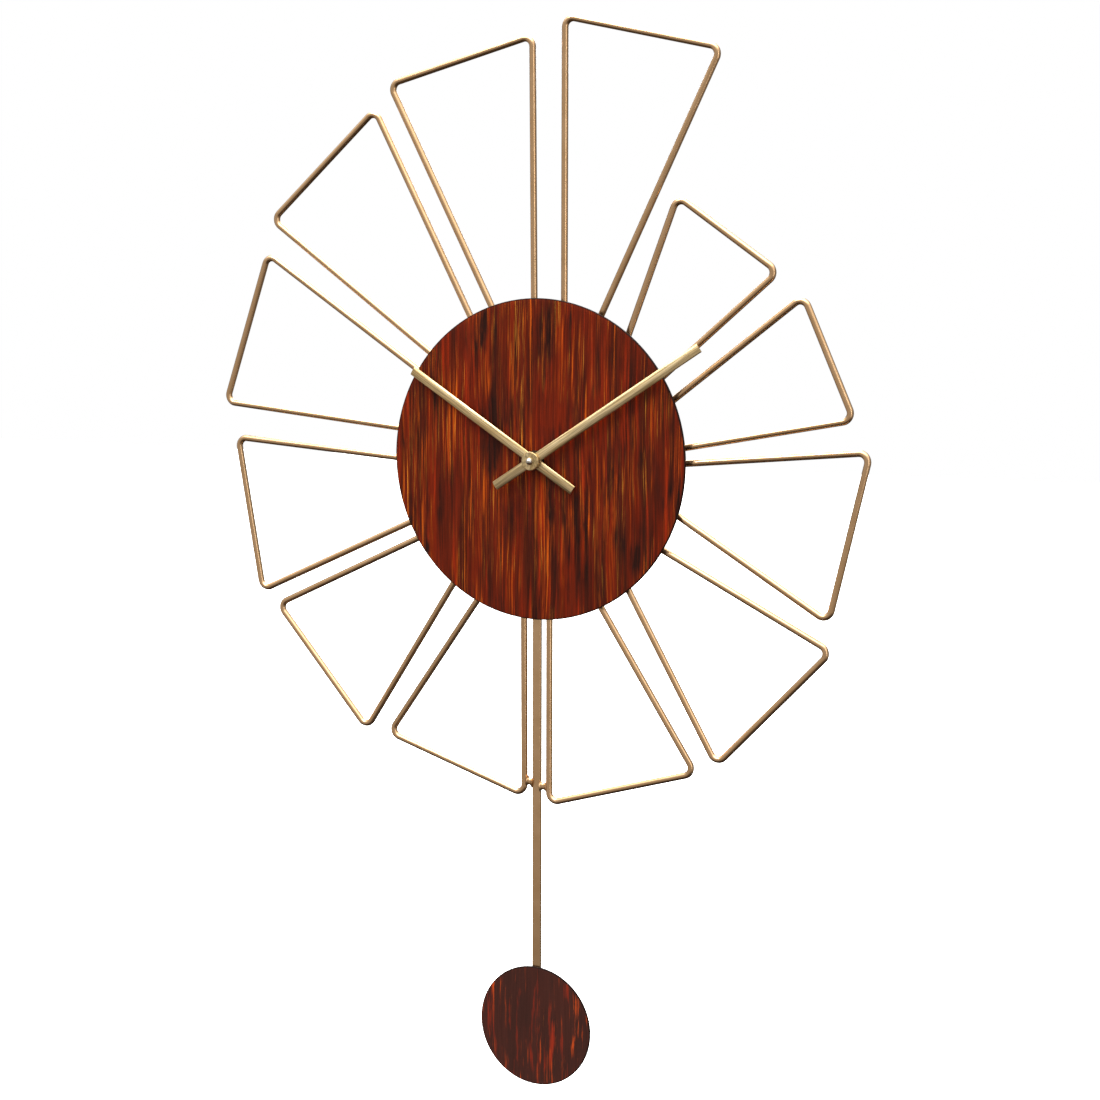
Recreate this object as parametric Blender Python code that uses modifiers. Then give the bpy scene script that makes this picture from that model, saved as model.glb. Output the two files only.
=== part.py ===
"""Sunburst wall clock: a wire frame of twelve open rays, a painted dial and a battery movement.

The clock is drawn in plan, as it is seen on the wall. In a piece's own coordinates X runs to the
right, Y runs up and Z is the height off the wall. One empty, clock_plan, turns that plan upright,
so that in the scene +Z is up, the wall is the plane Y = 0 and the dial looks towards -Y. The origin
is where the axis of the hands meets the wall.
"""

import math

import bmesh
import bpy

MM = 0.001

# ---------------------------------------------------------------- clearances
GAP = 0.3 * MM
RUNNING_GAP = 0.3 * MM
LAYER_SPACE = 1.1 * MM

# ---------------------------------------------------------------- wire frame
WIRE_DIAMETER = 4.8 * MM
WIRE_SETBACK = 9.25 * MM
BEND_RADIUS = 6 * MM
LONG_EDGE = 119.5 * MM
SHORT_EDGE = 90 * MM
RING_OUTER_RADIUS = 100 * MM
RING_WIDTH = 14 * MM
RING_THICKNESS = 1.5 * MM
DROP_BAR_X = -3.4 * MM
DROP_BAR_WIDTH = 6.6 * MM
DROP_BAR_THICKNESS = 3 * MM
LEFT_TIE_HEIGHT = -237 * MM
RIGHT_TIE_HEIGHT = -239.5 * MM
TIE_RADIUS = 2.1 * MM
RING_HOLE_SIDES = 16
RING_SIDES = 72
DISC_CENTRE_Y = -421 * MM
DISC_RADIUS = 45 * MM
DISC_THICKNESS = 1.5 * MM

# Each ray in turn, clockwise from the one right of twelve o'clock: the distance from the hand axis
# to the middle of its outer edge (mm), the bearing of that point, how far the ray leans from that
# bearing, the angle between its two legs (degrees), and its outer edge.
RAYS = (
    (306, 14.4, -1.4, 26.0, LONG_EDGE),
    (212, 41.5, -6.5, 28.5, SHORT_EDGE),
    (227, 70.5, -4.5, 27.0, SHORT_EDGE),
    (235, 101.0, 2.0, 36.5, LONG_EDGE),
    (244, 133.0, 0.5, 33.5, LONG_EDGE),
    (243, 164.7, -1.2, 33.0, LONG_EDGE),
    (240, 197.0, 0.5, 35.5, LONG_EDGE),
    (249, 228.5, 0.5, 32.0, LONG_EDGE),
    (255.5, 258.5, 1.5, 28.5, LONG_EDGE),
    (267, 290.0, -0.5, 27.5, LONG_EDGE),
    (279, 319.5, -0.5, 26.5, LONG_EDGE),
    (291, 347.0, -1.0, 27.0, LONG_EDGE),
)

# ---------------------------------------------------------------- dial and its fixings
DIAL_RADIUS = 115 * MM
DIAL_THICKNESS = 2 * MM
STUD_RADIUS = 2 * MM
SPACER_WALL = 1.7 * MM
STUD_NUT_FLATS = 7 * MM
STUD_NUT_HEIGHT = 3.2 * MM
STUD_AFTER_RAY = (0, 4, 8)

# ---------------------------------------------------------------- hands
HAND_WIDTH = 6.9 * MM
HAND_THICKNESS = 1.4 * MM
HOUR_REACH = 116 * MM
HOUR_TAIL = 37 * MM
HOUR_BEARING = 302.5
MINUTE_REACH = 151 * MM
MINUTE_TAIL = 35 * MM
MINUTE_BEARING = 57.2
HAND_BOSS_RADIUS = 4.4 * MM
HAND_SPACE = 0.6 * MM
HAND_NUT_RADIUS = 6.8 * MM
HAND_NUT_HEIGHT = 2.2 * MM

# ---------------------------------------------------------------- movement
CASE_WALL = 1.5 * MM
BATTERY_LENGTH = 50.5 * MM
BATTERY_DIAMETER = 14.5 * MM
BATTERY_WALL_SPACE = 0.5 * MM
BATTERY_END_SPACE = 5.5 * MM
BATTERY_SIDE_SPACE = 0.6 * MM
TRAIN_SIDE_SPACE = 1 * MM
CAP_RADIUS = 2.7 * MM
SPRING_BASE_RADIUS = 4.5 * MM
SPRING_TIP_RADIUS = 3 * MM
PARTITION = 1.2 * MM
WHEEL_THICKNESS = 0.8 * MM
PINION_THICKNESS = 1.4 * MM
MINUTE_PIVOT_RADIUS = 0.8 * MM
THIRD_PIVOT_RADIUS = 0.6 * MM
ROTOR_PIVOT_RADIUS = 0.5 * MM
KNOB_SHAFT_RADIUS = 1.2 * MM
PIVOT_REACH = 0.3 * MM
ROTOR_MAGNET_RADIUS = 2.6 * MM
ROTOR_MAGNET_HALF = 2.2 * MM
ROTOR_PIVOT_HALF = 3 * MM
KNOB_RADIUS = 4.2 * MM
KNOB_GROOVE_RADIUS = 3.9 * MM
KNOB_GROOVES = 18
KNOB_FRONT = 1.1 * MM
BRIDGE_THICKNESS = 1 * MM
BRIDGE_POST_RADIUS = 1.3 * MM
BRIDGE_POST_INSET = 2.2 * MM
BUSH_RADIUS = 4 * MM
BUSH_BORE = 2.8 * MM
BUSH_FLANGE_RADIUS = 6 * MM
BUSH_FLANGE_HEIGHT = 1 * MM
HOUR_TUBE_RADIUS = 2.5 * MM
HOUR_TUBE_BORE = 1.6 * MM
ARBOR_RADIUS = 1.2 * MM
ARBOR_TIP = 2.8 * MM
HANGER_THICKNESS = 0.8 * MM
HANGER_WIDTH = 24 * MM
HANGER_TAIL = 9 * MM
HANGER_SETBACK = 0.4 * MM
HANGER_KNEE_RISE = 1.5 * MM
HANGER_HEEL_RISE = 10 * MM
HANGER_CREST_RISE = 20 * MM
KEYHOLE_MOUTH_RISE = 8 * MM
KEYHOLE_NECK_RISE = 14 * MM
KEYHOLE_RADIUS = 4.5 * MM
KEYHOLE_SLOT_RADIUS = 2.2 * MM
RUBBER_THICKNESS = 0.8 * MM
RUBBER_WASHER_RADIUS = 9 * MM
BRASS_WASHER_THICKNESS = 0.5 * MM
BRASS_WASHER_RADIUS = 7.2 * MM
HEX_NUT_FLATS = 12 * MM
HEX_NUT_HEIGHT = 2.2 * MM

# Tooth counts. The hour wheel turns once for twelve turns of the minute arbor, and the rotor, which
# steps half a turn every thirty seconds, turns sixty times for each of them.
CENTRE_TEETH = 64
THIRD_TEETH = 60
LEAVES = 8
CANNON_TEETH = 12
MINUTE_WHEEL_TEETH = 36
MINUTE_PINION_TEETH = 10
HOUR_WHEEL_TEETH = 40
TRAIN_MODULE = 0.4 * MM
MOTION_MODULE = 0.45 * MM
ADDENDUM = 0.8
DEDENDUM = 1.2
TIP_SHARE = 0.10
ROOT_SHARE = 0.24

# ---------------------------------------------------------------- heights off the wall
CASE_INSIDE = BATTERY_WALL_SPACE + BATTERY_DIAMETER + GAP
CASE_FRONT = CASE_INSIDE + CASE_WALL
HANGER_BACK = CASE_FRONT + GAP
RUBBER_BACK = HANGER_BACK + HANGER_THICKNESS + GAP
DIAL_BACK = RUBBER_BACK + RUBBER_THICKNESS + GAP
DIAL_FRONT = DIAL_BACK + DIAL_THICKNESS
WASHER_BACK = DIAL_FRONT + GAP
NUT_BACK = WASHER_BACK + BRASS_WASHER_THICKNESS + GAP
BUSH_FRONT = NUT_BACK + HEX_NUT_HEIGHT + GAP
HOUR_HAND_BACK = BUSH_FRONT + GAP
MINUTE_HAND_BACK = HOUR_HAND_BACK + HAND_THICKNESS + HAND_SPACE
HAND_NUT_BACK = MINUTE_HAND_BACK + HAND_THICKNESS + GAP
ARBOR_FRONT = HAND_NUT_BACK + HAND_NUT_HEIGHT + ARBOR_TIP

WIRE_RADIUS = WIRE_DIAMETER / 2
WIRE_LEVEL = DIAL_FRONT - WIRE_SETBACK
WIRE_BACK = WIRE_LEVEL - WIRE_RADIUS
RING_FRONT = WIRE_BACK - GAP
RING_BACK = RING_FRONT - RING_THICKNESS
RING_MIDDLE_RADIUS = RING_OUTER_RADIUS - RING_WIDTH / 2

PIVOT_BACK = CASE_WALL + 0.5 * MM
THIRD_LEVEL = CASE_WALL + 3.1 * MM
CENTRE_LEVEL = THIRD_LEVEL + WHEEL_THICKNESS + LAYER_SPACE
BRIDGE_LEVEL = CENTRE_LEVEL + WHEEL_THICKNESS + LAYER_SPACE
MOTION_LEVEL = BRIDGE_LEVEL + BRIDGE_THICKNESS + 0.8 * MM
HOUR_LEVEL = MOTION_LEVEL + PINION_THICKNESS + 0.8 * MM
MOTOR_LEVEL = CENTRE_LEVEL + WHEEL_THICKNESS / 2

# ---------------------------------------------------------------- plan of the movement
TRAIN_DISTANCE = TRAIN_MODULE * (CENTRE_TEETH + LEAVES) / 2
ROTOR_DISTANCE = TRAIN_MODULE * (THIRD_TEETH + LEAVES) / 2
MOTION_DISTANCE = MOTION_MODULE * (CANNON_TEETH + MINUTE_WHEEL_TEETH) / 2
HOUR_MODULE = 2 * MOTION_DISTANCE / (MINUTE_PINION_TEETH + HOUR_WHEEL_TEETH)

THIRD_DIRECTION = 35.0
ROTOR_DIRECTION = 100.0
MINUTE_WHEEL_DIRECTION = -15.0
KNOB_SWING_LIMIT = -5.0


def polar(centre, distance, degrees):
    """The point at this distance and direction (anticlockwise from X) from centre."""
    angle = math.radians(degrees)
    return (centre[0] + distance * math.cos(angle), centre[1] + distance * math.sin(angle))


def bearing_point(distance, bearing):
    """The point at this distance from the hand axis, on a clock bearing from twelve o'clock."""
    return polar((0, 0), distance, 90 - bearing)


def bearing_clear_of(centre, distance, other, clearance, limit):
    """The direction from centre, at most limit, whose point at this distance is clear of other."""
    across = (other[0] - centre[0], other[1] - centre[1])
    apart = math.hypot(*across)
    share = (distance**2 + apart**2 - clearance**2) / (2 * distance * apart)
    return min(limit, math.degrees(math.atan2(across[1], across[0]) - math.acos(share)))


HAND_AXIS = (0.0, 0.0)
THIRD_AXIS = polar(HAND_AXIS, TRAIN_DISTANCE, THIRD_DIRECTION)
ROTOR_AXIS = polar(THIRD_AXIS, ROTOR_DISTANCE, ROTOR_DIRECTION)
MINUTE_WHEEL_AXIS = polar(HAND_AXIS, MOTION_DISTANCE, MINUTE_WHEEL_DIRECTION)
THIRD_WHEEL_RADIUS = TRAIN_MODULE * (THIRD_TEETH / 2 + ADDENDUM)
# The knob's shaft passes the rim of the third wheel.
KNOB_DIRECTION = bearing_clear_of(
    MINUTE_WHEEL_AXIS,
    MOTION_DISTANCE,
    THIRD_AXIS,
    THIRD_WHEEL_RADIUS + KNOB_SHAFT_RADIUS + RUNNING_GAP,
    KNOB_SWING_LIMIT,
)
KNOB_AXIS = polar(MINUTE_WHEEL_AXIS, MOTION_DISTANCE, KNOB_DIRECTION)

CENTRE_WHEEL_RADIUS = TRAIN_MODULE * (CENTRE_TEETH / 2 + ADDENDUM)
PARTITION_TOP = -(CENTRE_WHEEL_RADIUS + 1 * MM)
BAY_TOP = PARTITION_TOP - PARTITION
BATTERY_Y = BAY_TOP - BATTERY_SIDE_SPACE - BATTERY_DIAMETER / 2
BAY_BOTTOM = BATTERY_Y - BATTERY_DIAMETER / 2 - BATTERY_SIDE_SPACE
STATOR_HALF = 4.5 * MM
CHAMBER_TOP = ROTOR_AXIS[1] + STATOR_HALF + GAP
# The case is as wide as the wider of its two rooms needs.
BATTERY_ROOM_HALF = (BATTERY_LENGTH + BATTERY_END_SPACE) / 2
TRAIN_ROOM_HALF = TRAIN_SIDE_SPACE + max(
    THIRD_AXIS[0] + THIRD_WHEEL_RADIUS,
    KNOB_AXIS[0] + KNOB_RADIUS,
)
INSIDE_HALF_WIDTH = max(BATTERY_ROOM_HALF, TRAIN_ROOM_HALF)


# ---------------------------------------------------------------- scene helpers
def clear_scene():
    for obj in list(bpy.data.objects):
        bpy.data.objects.remove(obj, do_unlink=True)


def collection(name):
    made = bpy.data.collections.new(name)
    bpy.context.scene.collection.children.link(made)
    return made


def finish(name, colour, roughness, metallic=0.0):
    """One sub-part's own Principled material."""
    material = bpy.data.materials.new(name)
    material.use_nodes = True
    shader = material.node_tree.nodes["Principled BSDF"]
    shader.inputs["Base Color"].default_value = (*colour, 1)
    shader.inputs["Roughness"].default_value = roughness
    shader.inputs["Metallic"].default_value = metallic
    return material


clear_scene()
CLOCK = collection("sunburst_wall_clock")
TOOLS = collection("cutters")

PLAN = bpy.data.objects.new("clock_plan", None)
PLAN.rotation_euler = (math.pi / 2, 0, 0)
CLOCK.objects.link(PLAN)


def axis_empty(name, place):
    """An empty on a joint's axis, for the pieces that turn with it."""
    empty = bpy.data.objects.new(name, None)
    empty.parent = PLAN
    empty.location = (*place, 0)
    CLOCK.objects.link(empty)
    return empty


def place(obj, parent, at=(0, 0, 0), turn=0.0):
    """Puts a piece in its parent's plan, turned about the height axis by turn degrees."""
    obj.parent = parent
    obj.location = at
    obj.rotation_euler = (0, 0, math.radians(turn))
    return obj


def smooth(mesh):
    mesh.shade_smooth()
    mesh.set_sharp_from_angle(angle=math.radians(35))


# ---------------------------------------------------------------- shape helpers
def circle(radius, count=32, centre=(0, 0)):
    """An outline of a circle."""
    return [polar(centre, radius, 360 * step / count) for step in range(count)]


def rectangle(left, right, bottom, top):
    """An outline of an upright rectangle."""
    return [(left, bottom), (right, bottom), (right, top), (left, top)]


def hexagon(flats):
    """An outline of a nut, from its width across flats."""
    return circle(flats / math.sqrt(3), 6)


def gear(teeth, module, phase=0.0):
    """An outline of a toothed wheel, with the middle of one tooth at phase degrees."""
    root = module * (teeth / 2 - DEDENDUM)
    tip = module * (teeth / 2 + ADDENDUM)
    pitch = 360 / teeth
    corners = ((root, -ROOT_SHARE), (tip, -TIP_SHARE), (tip, TIP_SHARE), (root, ROOT_SHARE))
    return [
        polar((0, 0), radius, phase + pitch * (tooth + share))
        for tooth in range(teeth)
        for radius, share in corners
    ]


def meshing_phase(phase, teeth, direction, other_teeth):
    """The phase of a second wheel, in this direction from the first, that puts them in mesh."""
    past_tooth = ((direction - phase) / (360 / teeth)) % 1.0
    return direction + 180 + (past_tooth - 0.5) * 360 / other_teeth


def plate_mesh(name, outlines, bottom, top):
    """A closed mesh of a flat outline, its first loop the edge and the others holes in it."""
    curve = bpy.data.curves.new(name, "CURVE")
    curve.dimensions = "2D"
    curve.fill_mode = "BOTH"
    curve.extrude = (top - bottom) / 2
    for outline in outlines:
        spline = curve.splines.new("POLY")
        spline.points.add(len(outline) - 1)
        for point, (x, y) in zip(spline.points, outline):
            point.co = (x, y, 0, 1)
        spline.use_cyclic_u = True
    guide = bpy.data.objects.new(name, curve)
    TOOLS.objects.link(guide)
    graph = bpy.context.evaluated_depsgraph_get()
    mesh = bpy.data.meshes.new_from_object(guide.evaluated_get(graph))
    bpy.data.objects.remove(guide, do_unlink=True)
    bpy.data.curves.remove(curve)
    edit = bmesh.new()
    edit.from_mesh(mesh)
    bmesh.ops.remove_doubles(edit, verts=edit.verts, dist=1e-6)
    bmesh.ops.translate(edit, verts=edit.verts, vec=(0, 0, (bottom + top) / 2))
    edit.to_mesh(mesh)
    edit.free()
    return mesh


def mesh_object(name, mesh, material, group=None):
    """A new object of this mesh, with its material."""
    obj = bpy.data.objects.new(name, mesh)
    mesh.materials.clear()
    mesh.materials.append(material)
    smooth(mesh)
    (group or CLOCK).objects.link(obj)
    return obj


def plate(name, outlines, bottom, top, material, group=None):
    """A flat piece of constant thickness."""
    return mesh_object(name, plate_mesh(name, outlines, bottom, top), material, group)


def block(name, low, high, material, group=None):
    """A box between two corners."""
    edit = bmesh.new()
    bmesh.ops.create_cube(edit, size=1)
    size = [b - a for a, b in zip(low, high)]
    middle = [(a + b) / 2 for a, b in zip(low, high)]
    bmesh.ops.scale(edit, verts=edit.verts, vec=size)
    bmesh.ops.translate(edit, verts=edit.verts, vec=middle)
    mesh = bpy.data.meshes.new(name)
    edit.to_mesh(mesh)
    edit.free()
    return mesh_object(name, mesh, material, group)


def rod(name, radius, bottom, top, material, centre=(0, 0), sides=24, group=None):
    """A round bar that stands on the plan."""
    edit = bmesh.new()
    height = top - bottom
    bmesh.ops.create_cone(
        edit, cap_ends=True, segments=sides, radius1=radius, radius2=radius, depth=height
    )
    bmesh.ops.translate(edit, verts=edit.verts, vec=(*centre, (bottom + top) / 2))
    mesh = bpy.data.meshes.new(name)
    edit.to_mesh(mesh)
    edit.free()
    return mesh_object(name, mesh, material, group)


def turned(name, profile, material, steps=32, closed=False, group=None):
    """A piece turned about the height axis from (radius, height) points, outer side downwards."""
    edit = bmesh.new()
    rim = [edit.verts.new((radius, 0, height)) for radius, height in profile]
    for first, second in zip(rim, rim[1:]):
        edit.edges.new((first, second))
    if closed:
        edit.edges.new((rim[-1], rim[0]))
    mesh = bpy.data.meshes.new(name)
    edit.to_mesh(mesh)
    edit.free()
    obj = bpy.data.objects.new(name, mesh)
    mesh.materials.append(material)
    (group or CLOCK).objects.link(obj)
    screw = obj.modifiers.new("Turn", "SCREW")
    screw.axis = "Z"
    screw.steps = steps
    screw.render_steps = steps
    screw.use_merge_vertices = True
    screw.merge_threshold = 1e-6
    screw.use_smooth_shade = False
    return obj


def wire(name, points, radius, material, resolution=2):
    """A round wire along these points."""
    curve = bpy.data.curves.new(name, "CURVE")
    curve.dimensions = "3D"
    curve.bevel_depth = radius
    curve.bevel_resolution = resolution
    curve.use_fill_caps = True
    spline = curve.splines.new("POLY")
    spline.points.add(len(points) - 1)
    for point, (x, y, z) in zip(spline.points, points):
        point.co = (x, y, z, 1)
    curve.materials.append(material)
    obj = bpy.data.objects.new(name, curve)
    CLOCK.objects.link(obj)
    return obj


def combine(obj, others, operation):
    """Joins other solids to a piece, or cuts them from it, and keeps them out of sight."""
    for other in others:
        other.hide_render = True
        other.display_type = "WIRE"
        if other.parent is None:
            other.parent = obj
        step = obj.modifiers.new(other.name, "BOOLEAN")
        step.operation = operation
        step.solver = "EXACT"
        step.object = other
    return obj


def joined(obj, *others):
    return combine(obj, others, "UNION")


def cut(obj, *others):
    return combine(obj, others, "DIFFERENCE")


# ---------------------------------------------------------------- wire frame
class Ray:
    """One open ray: a wire bent from its left leg, round its outer edge, to its right leg."""

    def __init__(self, reach, bearing, lean, splay, edge):
        self.middle = bearing_point(reach * MM, bearing)
        self.heading = bearing + lean
        self.splay = splay
        self.edge = edge

    def corner(self, side):
        """The outer corner, before it is rounded. Side is -1 on the left leg and 1 on the right."""
        return polar(self.middle, side * self.edge / 2, -self.heading)

    def inward(self, side):
        """The direction, anticlockwise from X, in which a leg runs from its corner."""
        return 270 - self.heading - side * self.splay / 2

    def leg_end(self, side, radius):
        """Where a leg meets the circle of this radius about the hand axis."""
        x, y = self.corner(side)
        dx, dy = polar((0, 0), 1, self.inward(side))
        along = -(x * dx + y * dy)
        missed = x * x + y * y - along * along
        return polar((x, y), along - math.sqrt(radius * radius - missed), self.inward(side))

    def end_bearing(self, side, radius):
        x, y = self.leg_end(side, radius)
        return math.degrees(math.atan2(x, y)) % 360

    def leg_x(self, side, height):
        """Where a leg crosses a level line of the plan."""
        x, y = self.corner(side)
        dx, dy = polar((0, 0), 1, self.inward(side))
        return x + dx * (height - y) / dy

    def path(self, radius, steps=5):
        """The wire's centre line, with a round bend at each corner."""
        points = [self.leg_end(-1, radius)]
        for side in (-1, 1):
            corner = self.corner(side)
            turn = 90 + self.splay / 2
            tangent = BEND_RADIUS * math.tan(math.radians(turn / 2))
            start = polar(corner, tangent, self.inward(side))
            centre = polar(start, BEND_RADIUS, self.inward(side) - side * 90)
            first = self.inward(side) + side * 90
            bend = [
                polar(centre, BEND_RADIUS, first + side * turn * step / steps)
                for step in range(steps + 1)
            ]
            points += bend if side < 0 else bend[::-1]
        points.append(self.leg_end(1, radius))
        return points


def ray_frame(rays, paint):
    for index, ray in enumerate(rays, start=1):
        line = [(x, y, WIRE_LEVEL) for x, y in ray.path(RING_MIDDLE_RADIUS)]
        place(wire(f"sun_ray_{index:02d}", line, WIRE_RADIUS, paint), PLAN)


def stud_points(rays):
    """The dial studs stand on the ring, halfway between one ray's right leg and the next ray."""
    points = []
    for index in STUD_AFTER_RAY:
        here = rays[index].end_bearing(1, RING_MIDDLE_RADIUS)
        ahead = rays[index + 1].end_bearing(-1, RING_MIDDLE_RADIUS)
        points.append(bearing_point(RING_MIDDLE_RADIUS, here + ((ahead - here) % 360) / 2))
    return points


def weld_ring(studs, paint):
    holes = [circle(STUD_RADIUS + GAP, RING_HOLE_SIDES, point) for point in studs]
    inner = RING_OUTER_RADIUS - RING_WIDTH
    edges = [circle(RING_OUTER_RADIUS, RING_SIDES), circle(inner, RING_SIDES)]
    place(plate("weld_ring", edges + holes, RING_BACK, RING_FRONT, paint), PLAN)


def hanging_disc(rays, paint, disc_paint):
    """The bar that hangs below the dial, its two short ties and the disc at its end."""
    half = DROP_BAR_WIDTH / 2
    bottom = WIRE_BACK
    top = bottom + DROP_BAR_THICKNESS
    bar_top = -RING_MIDDLE_RADIUS
    bar_foot = DISC_CENTRE_Y - DISC_RADIUS / 3
    low = (DROP_BAR_X - half, bar_foot, bottom)
    high = (DROP_BAR_X + half, bar_top, top)
    place(block("drop_bar", low, high, paint), PLAN)

    reach = WIRE_RADIUS + GAP
    left_leg = rays[6].leg_x(-1, LEFT_TIE_HEIGHT)
    right_leg = rays[5].leg_x(1, RIGHT_TIE_HEIGHT)
    ties = {
        "tie_bar_left": (
            (left_leg + reach, LEFT_TIE_HEIGHT, WIRE_LEVEL),
            (DROP_BAR_X - half - GAP, LEFT_TIE_HEIGHT, WIRE_LEVEL),
        ),
        "tie_bar_right": (
            (DROP_BAR_X + half + GAP, RIGHT_TIE_HEIGHT, WIRE_LEVEL),
            (right_leg - reach, RIGHT_TIE_HEIGHT, WIRE_LEVEL),
        ),
    }
    for name, ends in ties.items():
        place(wire(name, ends, TIE_RADIUS, paint), PLAN)

    disc = plate("pendulum_disc", [circle(DISC_RADIUS, 72)], 0, DISC_THICKNESS, disc_paint)
    place(disc, PLAN, (DROP_BAR_X, DISC_CENTRE_Y, top + GAP))


# ---------------------------------------------------------------- dial and its fixings
def dial_with_studs(studs, dial_paint, steel):
    hole = circle(BUSH_RADIUS + GAP)
    dial = plate("dial", [circle(DIAL_RADIUS, 96), hole], DIAL_BACK, DIAL_FRONT, dial_paint)
    place(dial, PLAN)
    bore = circle(STUD_RADIUS + GAP, 16)
    spacer_edge = circle(STUD_RADIUS + GAP + SPACER_WALL, 24)
    spacer_mesh = plate_mesh("dial_spacer", [spacer_edge, bore], RING_FRONT + GAP, DIAL_BACK - GAP)
    nut_top = RING_BACK - GAP
    nut_bottom = nut_top - STUD_NUT_HEIGHT
    nut_mesh = plate_mesh("dial_nut", [hexagon(STUD_NUT_FLATS), bore], nut_bottom, nut_top)
    for index, (x, y) in enumerate(studs, start=1):
        stud = rod(
            f"dial_stud_{index}", STUD_RADIUS, nut_bottom - 0.8 * MM, DIAL_BACK - GAP, steel, sides=16
        )
        place(stud, PLAN, (x, y, 0))
        place(mesh_object(f"dial_spacer_{index}", spacer_mesh.copy(), steel), PLAN, (x, y, 0))
        place(mesh_object(f"dial_nut_{index}", nut_mesh.copy(), steel), PLAN, (x, y, 0))


# ---------------------------------------------------------------- hands
def hand_bar(name, reach, tail, back, bearing, bore, brass, axis):
    """A straight hand with a rounded front, a boss at its axis and a hole for its arbor."""
    half = HAND_WIDTH / 2
    edge = 0.45 * HAND_THICKNESS
    crown = [
        (half * math.cos(angle), edge + (HAND_THICKNESS - edge) * math.sin(angle))
        for angle in (math.pi * step / 8 for step in range(9))
    ]
    section = [(-half, 0), (half, 0)] + crown
    mesh = plate_mesh(name, [section], -tail, reach)
    edit = bmesh.new()
    edit.from_mesh(mesh)
    for vert in edit.verts:
        x, height, along = vert.co
        vert.co = (x, along, height + back)
    bmesh.ops.recalc_face_normals(edit, faces=edit.faces)
    edit.to_mesh(mesh)
    edit.free()
    hand = mesh_object(name, mesh, brass)
    boss_top = back + HAND_THICKNESS
    boss = rod(f"{name}_boss", HAND_BOSS_RADIUS, back, boss_top, brass, group=TOOLS)
    hole = rod(f"{name}_hole", bore, back - MM, boss_top + MM, brass, group=TOOLS)
    joined(hand, boss)
    cut(hand, hole)
    return place(hand, axis, turn=-bearing)


def hand_nut(brass, axis):
    """A flat round nut with a softened rim, open in the middle for the tip of the arbor."""
    bore = ARBOR_RADIUS + GAP
    top = HAND_NUT_BACK + HAND_NUT_HEIGHT
    rim = 0.5 * MM
    profile = [
        (bore, top),
        (HAND_NUT_RADIUS - rim, top),
        (HAND_NUT_RADIUS, top - rim),
        (HAND_NUT_RADIUS, HAND_NUT_BACK),
        (bore, HAND_NUT_BACK),
    ]
    place(turned("hand_nut", profile, brass, closed=True), axis)


# ---------------------------------------------------------------- wheels
def toothed(name, teeth, module, phase, bottom, thickness, material):
    """A toothed layer that is joined to an arbor."""
    outline = gear(teeth, module, phase)
    return plate(name, [outline], bottom, bottom + thickness, material, TOOLS)


def minute_arbor(steel, axis, centre_phase, cannon_phase):
    """The arbor of the minute hand, with the centre wheel and the cannon pinion on it."""
    dome = 0.5 * MM
    profile = [
        (0, ARBOR_FRONT),
        (ARBOR_RADIUS * 0.6, ARBOR_FRONT - 0.15 * MM),
        (ARBOR_RADIUS, ARBOR_FRONT - dome),
        (ARBOR_RADIUS, PIVOT_BACK),
        (0, PIVOT_BACK),
    ]
    arbor = turned("minute_arbor", profile, steel, steps=24)
    joined(
        arbor,
        toothed(
            "centre_wheel_layer",
            CENTRE_TEETH, TRAIN_MODULE, centre_phase, CENTRE_LEVEL, WHEEL_THICKNESS, steel,
        ),
        toothed(
            "cannon_layer",
            CANNON_TEETH, MOTION_MODULE, cannon_phase, MOTION_LEVEL, PINION_THICKNESS, steel,
        ),
    )
    place(arbor, axis)


def hour_wheel(brass, axis, phase):
    """The hour wheel and the tube that carries the hour hand."""
    outline = gear(HOUR_WHEEL_TEETH, HOUR_MODULE, phase)
    wheel = plate("hour_wheel", [outline], HOUR_LEVEL, HOUR_LEVEL + WHEEL_THICKNESS, brass)
    tube_top = MINUTE_HAND_BACK - GAP
    middle = HOUR_LEVEL + WHEEL_THICKNESS / 2
    tube = rod("hour_tube", HOUR_TUBE_RADIUS, middle, tube_top, brass, group=TOOLS)
    bore = rod("hour_bore", HOUR_TUBE_BORE, HOUR_LEVEL - MM, tube_top + MM, brass, group=TOOLS)
    joined(wheel, tube)
    cut(wheel, bore)
    place(wheel, axis)


def minute_wheel(brass, axis, phase):
    """The wheel between the cannon pinion and the hour wheel, with its own pinion."""
    arbor_bottom = BRIDGE_LEVEL + PIVOT_REACH
    arbor_top = HOUR_LEVEL + WHEEL_THICKNESS + 2 * PIVOT_REACH
    arbor = rod("minute_wheel", MINUTE_PIVOT_RADIUS, arbor_bottom, arbor_top, brass, sides=16)
    pinion_bottom = MOTION_LEVEL + WHEEL_THICKNESS / 2
    pinion_height = HOUR_LEVEL + WHEEL_THICKNESS + PIVOT_REACH - pinion_bottom
    pinion_phase = meshing_phase(0, HOUR_WHEEL_TEETH, MINUTE_WHEEL_DIRECTION, MINUTE_PINION_TEETH)
    joined(
        arbor,
        toothed(
            "minute_wheel_layer",
            MINUTE_WHEEL_TEETH, MOTION_MODULE, phase, MOTION_LEVEL, WHEEL_THICKNESS, brass,
        ),
        toothed(
            "minute_pinion_layer",
            MINUTE_PINION_TEETH, HOUR_MODULE, pinion_phase, pinion_bottom, pinion_height, brass,
        ),
    )
    place(arbor, axis)


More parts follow.
